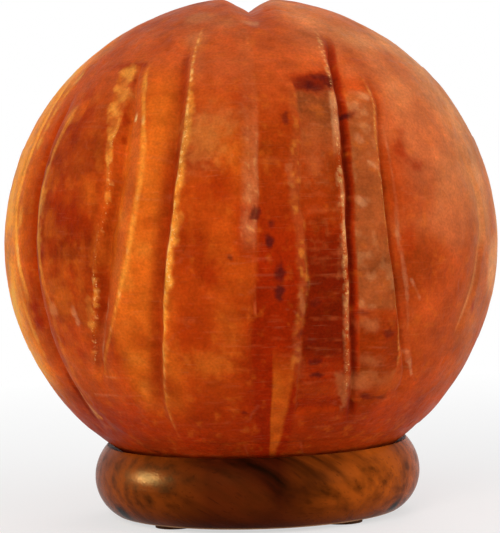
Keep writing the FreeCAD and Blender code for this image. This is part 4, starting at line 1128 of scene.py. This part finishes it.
def filament_coil():
    """A fine coil that hangs in a half ring between the two leads."""
    reach, height, radius, thick, turns = 5.2, 87.1, 0.36, 0.1, 46
    share = np.linspace(0.0, 1.0, turns * 14 + 1)
    bow, wound = share * math.pi, share * turns * 2 * math.pi
    path = circle(reach + radius * np.cos(wound), bow, height + radius * np.sin(wound))
    return skin("filament_coil", wire(path, thick, 6), False)


def add_detail():
    """The pieces that take the place of their plainer solids."""
    for name, outside, inside, ends, steps, columns, body, slot, solid in (
            ("bulb_cap_thread", cap_outside, cap_inside, CAP_ENDS, 94, 72,
             "bulb", "cap_metal", "bulb_cap"),
            ("screw_shell_thread", shell_outside, shell_inside, SHELL_ENDS, 110, 72,
             "holder", "brass", "screw_shell"),
            ("nipple_thread", nipple_outside, nipple_inside, NIPPLE_ENDS, 150, 60,
             "holder", "zinc_steel", "threaded_nipple")):
        tube = threaded_tube(name, outside, inside, ends, steps, columns)
        piece(name, tube, body, slot, solid)
    piece("toothed_washer", toothed_washer(), "holder", "spring_steel", "star_washer")
    for hand, side in (("right", 1), ("left", -1)):
        name = hand + "_wound_clip"
        clip = spring_clip(name, side)
        piece(name, clip, hand + "_clip", "spring_steel", hand + "_spring_clip")
    piece("filament_coil", filament_coil(), "bulb", "tungsten", "filament")


# ---------------------------------------------------------------- camera, lamps and floor
# The camera was fitted to the outline of the ball and the base in the 500 x 533 photograph.
CAMERA_PLACE, CAMERA_AIM = (0.0, -0.6, 0.0925), (-0.0005, 0.0, 0.0758)
CAMERA_LENS, CAMERA_SENSOR = 131.37, 36.0
CAMERA_ROLL = math.radians(-1.64)

# The lamps: name, place, aim, size in metres, power in watts and colour.
MIDDLE = (0, 0, 0.08)
LAMPS = (
    ("key", (-0.35, -1.05, 0.5), MIDDLE, 0.5, 6.4, (1.0, 0.97, 0.93)),
    ("fill", (0.95, -0.6, 0.35), MIDDLE, 0.6, 4.0, (1.0, 1.0, 1.0)),
    ("back", (0.3, 1.0, 0.7), MIDDLE, 0.6, 3.5, (1.0, 1.0, 1.0)),
)
HIGHLIGHT = ("window", (-0.83, -0.10, 0.215), (-0.03, -0.04, 0.017), 0.16, 72.0,
             (1.0, 0.68, 0.3))

# What the white surround lights the things with, and half the floor's width.
SURROUND_LIGHT = 0.42
FLOOR_HALF = 4.0


def turn_to(thing, place, aim, roll=0.0):
    """Puts a camera or lamp in its place and turns it to what it looks at."""
    thing.location = place
    thing.rotation_mode = "QUATERNION"
    facing = (Vector(aim) - Vector(place)).to_track_quat("-Z", "Y")
    thing.rotation_quaternion = facing @ Quaternion((0.0, 0.0, 1.0), roll)


def make_camera():
    data = bpy.data.cameras.new("camera")
    data.lens, data.sensor_width = CAMERA_LENS, CAMERA_SENSOR
    camera = put("camera", data)
    turn_to(camera, CAMERA_PLACE, CAMERA_AIM, CAMERA_ROLL)
    bpy.context.scene.camera = camera


def make_lamp(name, place, aim, size, power, colour):
    """A round lamp that isn't mirrored in anything."""
    data = bpy.data.lights.new(name, "AREA")
    data.shape = "DISK"
    data.size, data.energy, data.color = size, power, colour
    lamp = put(name, data)
    turn_to(lamp, place, aim)
    lamp.visible_glossy = False
    return lamp


def make_highlight():
    """The warm window that the photograph shows mirrored in the varnish, and in nothing else."""
    lamp = make_lamp(*HIGHLIGHT)
    lamp.visible_glossy = True
    lamp.visible_diffuse = False
    varnished = bpy.data.collections.new("varnished")
    varnished.objects.link(frame["nodes"]["wood_base"])
    lamp.light_linking.receiver_collection = varnished


def make_world():
    """A white surround that lights things less than it shows."""
    world = bpy.data.worlds.new("studio")
    bpy.context.scene.world = world
    world.use_nodes = True
    made = Nodes(world.node_tree)
    surround = made.tree.nodes["Background"].inputs
    made.join((1.0, 1.0, 1.0), surround["Color"])
    made.join(made.span(made.seen_directly(), 0.0, 1.0, SURROUND_LIGHT, 1.0),
              surround["Strength"])


def make_floor():
    """A white floor with a weak shadow. It fades into the surround and is clear from below."""
    half = FLOOR_HALF
    corners = [(-half, -half, 0), (half, -half, 0), (half, half, 0), (-half, half, 0)]
    mesh = bpy.data.meshes.new("floor")
    mesh.from_pydata(corners, [], [(0, 1, 2, 3)])
    floor = put("floor", mesh)
    made = Finish("floor", base_color=(0.93, 0.93, 0.93), roughness=0.9)
    away = made.vector("LENGTH", {0: made.place}, "Value")
    share = made.math("MULTIPLY", made.seen_directly(), made.span(away, 0.08, 0.5, 0.6, 1.0))
    glow = made.add("ShaderNodeEmission").outputs[0]
    lit = made.add("ShaderNodeMixShader", {0: share, 1: made.shader.outputs[0], 2: glow})
    below = made.add("ShaderNodeNewGeometry").outputs["Backfacing"]
    clear = made.add("ShaderNodeBsdfTransparent").outputs[0]
    side = made.add("ShaderNodeMixShader", {0: below, 1: lit.outputs[0], 2: clear})
    made.join(side.outputs[0], made.tree.nodes["Material Output"].inputs["Surface"])
    mesh.materials.append(made.material)


bpy.context.scene.view_settings.view_transform = "Standard"
make_camera()
make_world()
make_floor()
for settings in LAMPS:
    make_lamp(*settings)
make_highlight()
dress_nodes()
piece("salt_ball", make_crystal(), "base", "rock_salt", "salt_crystal")
add_detail()
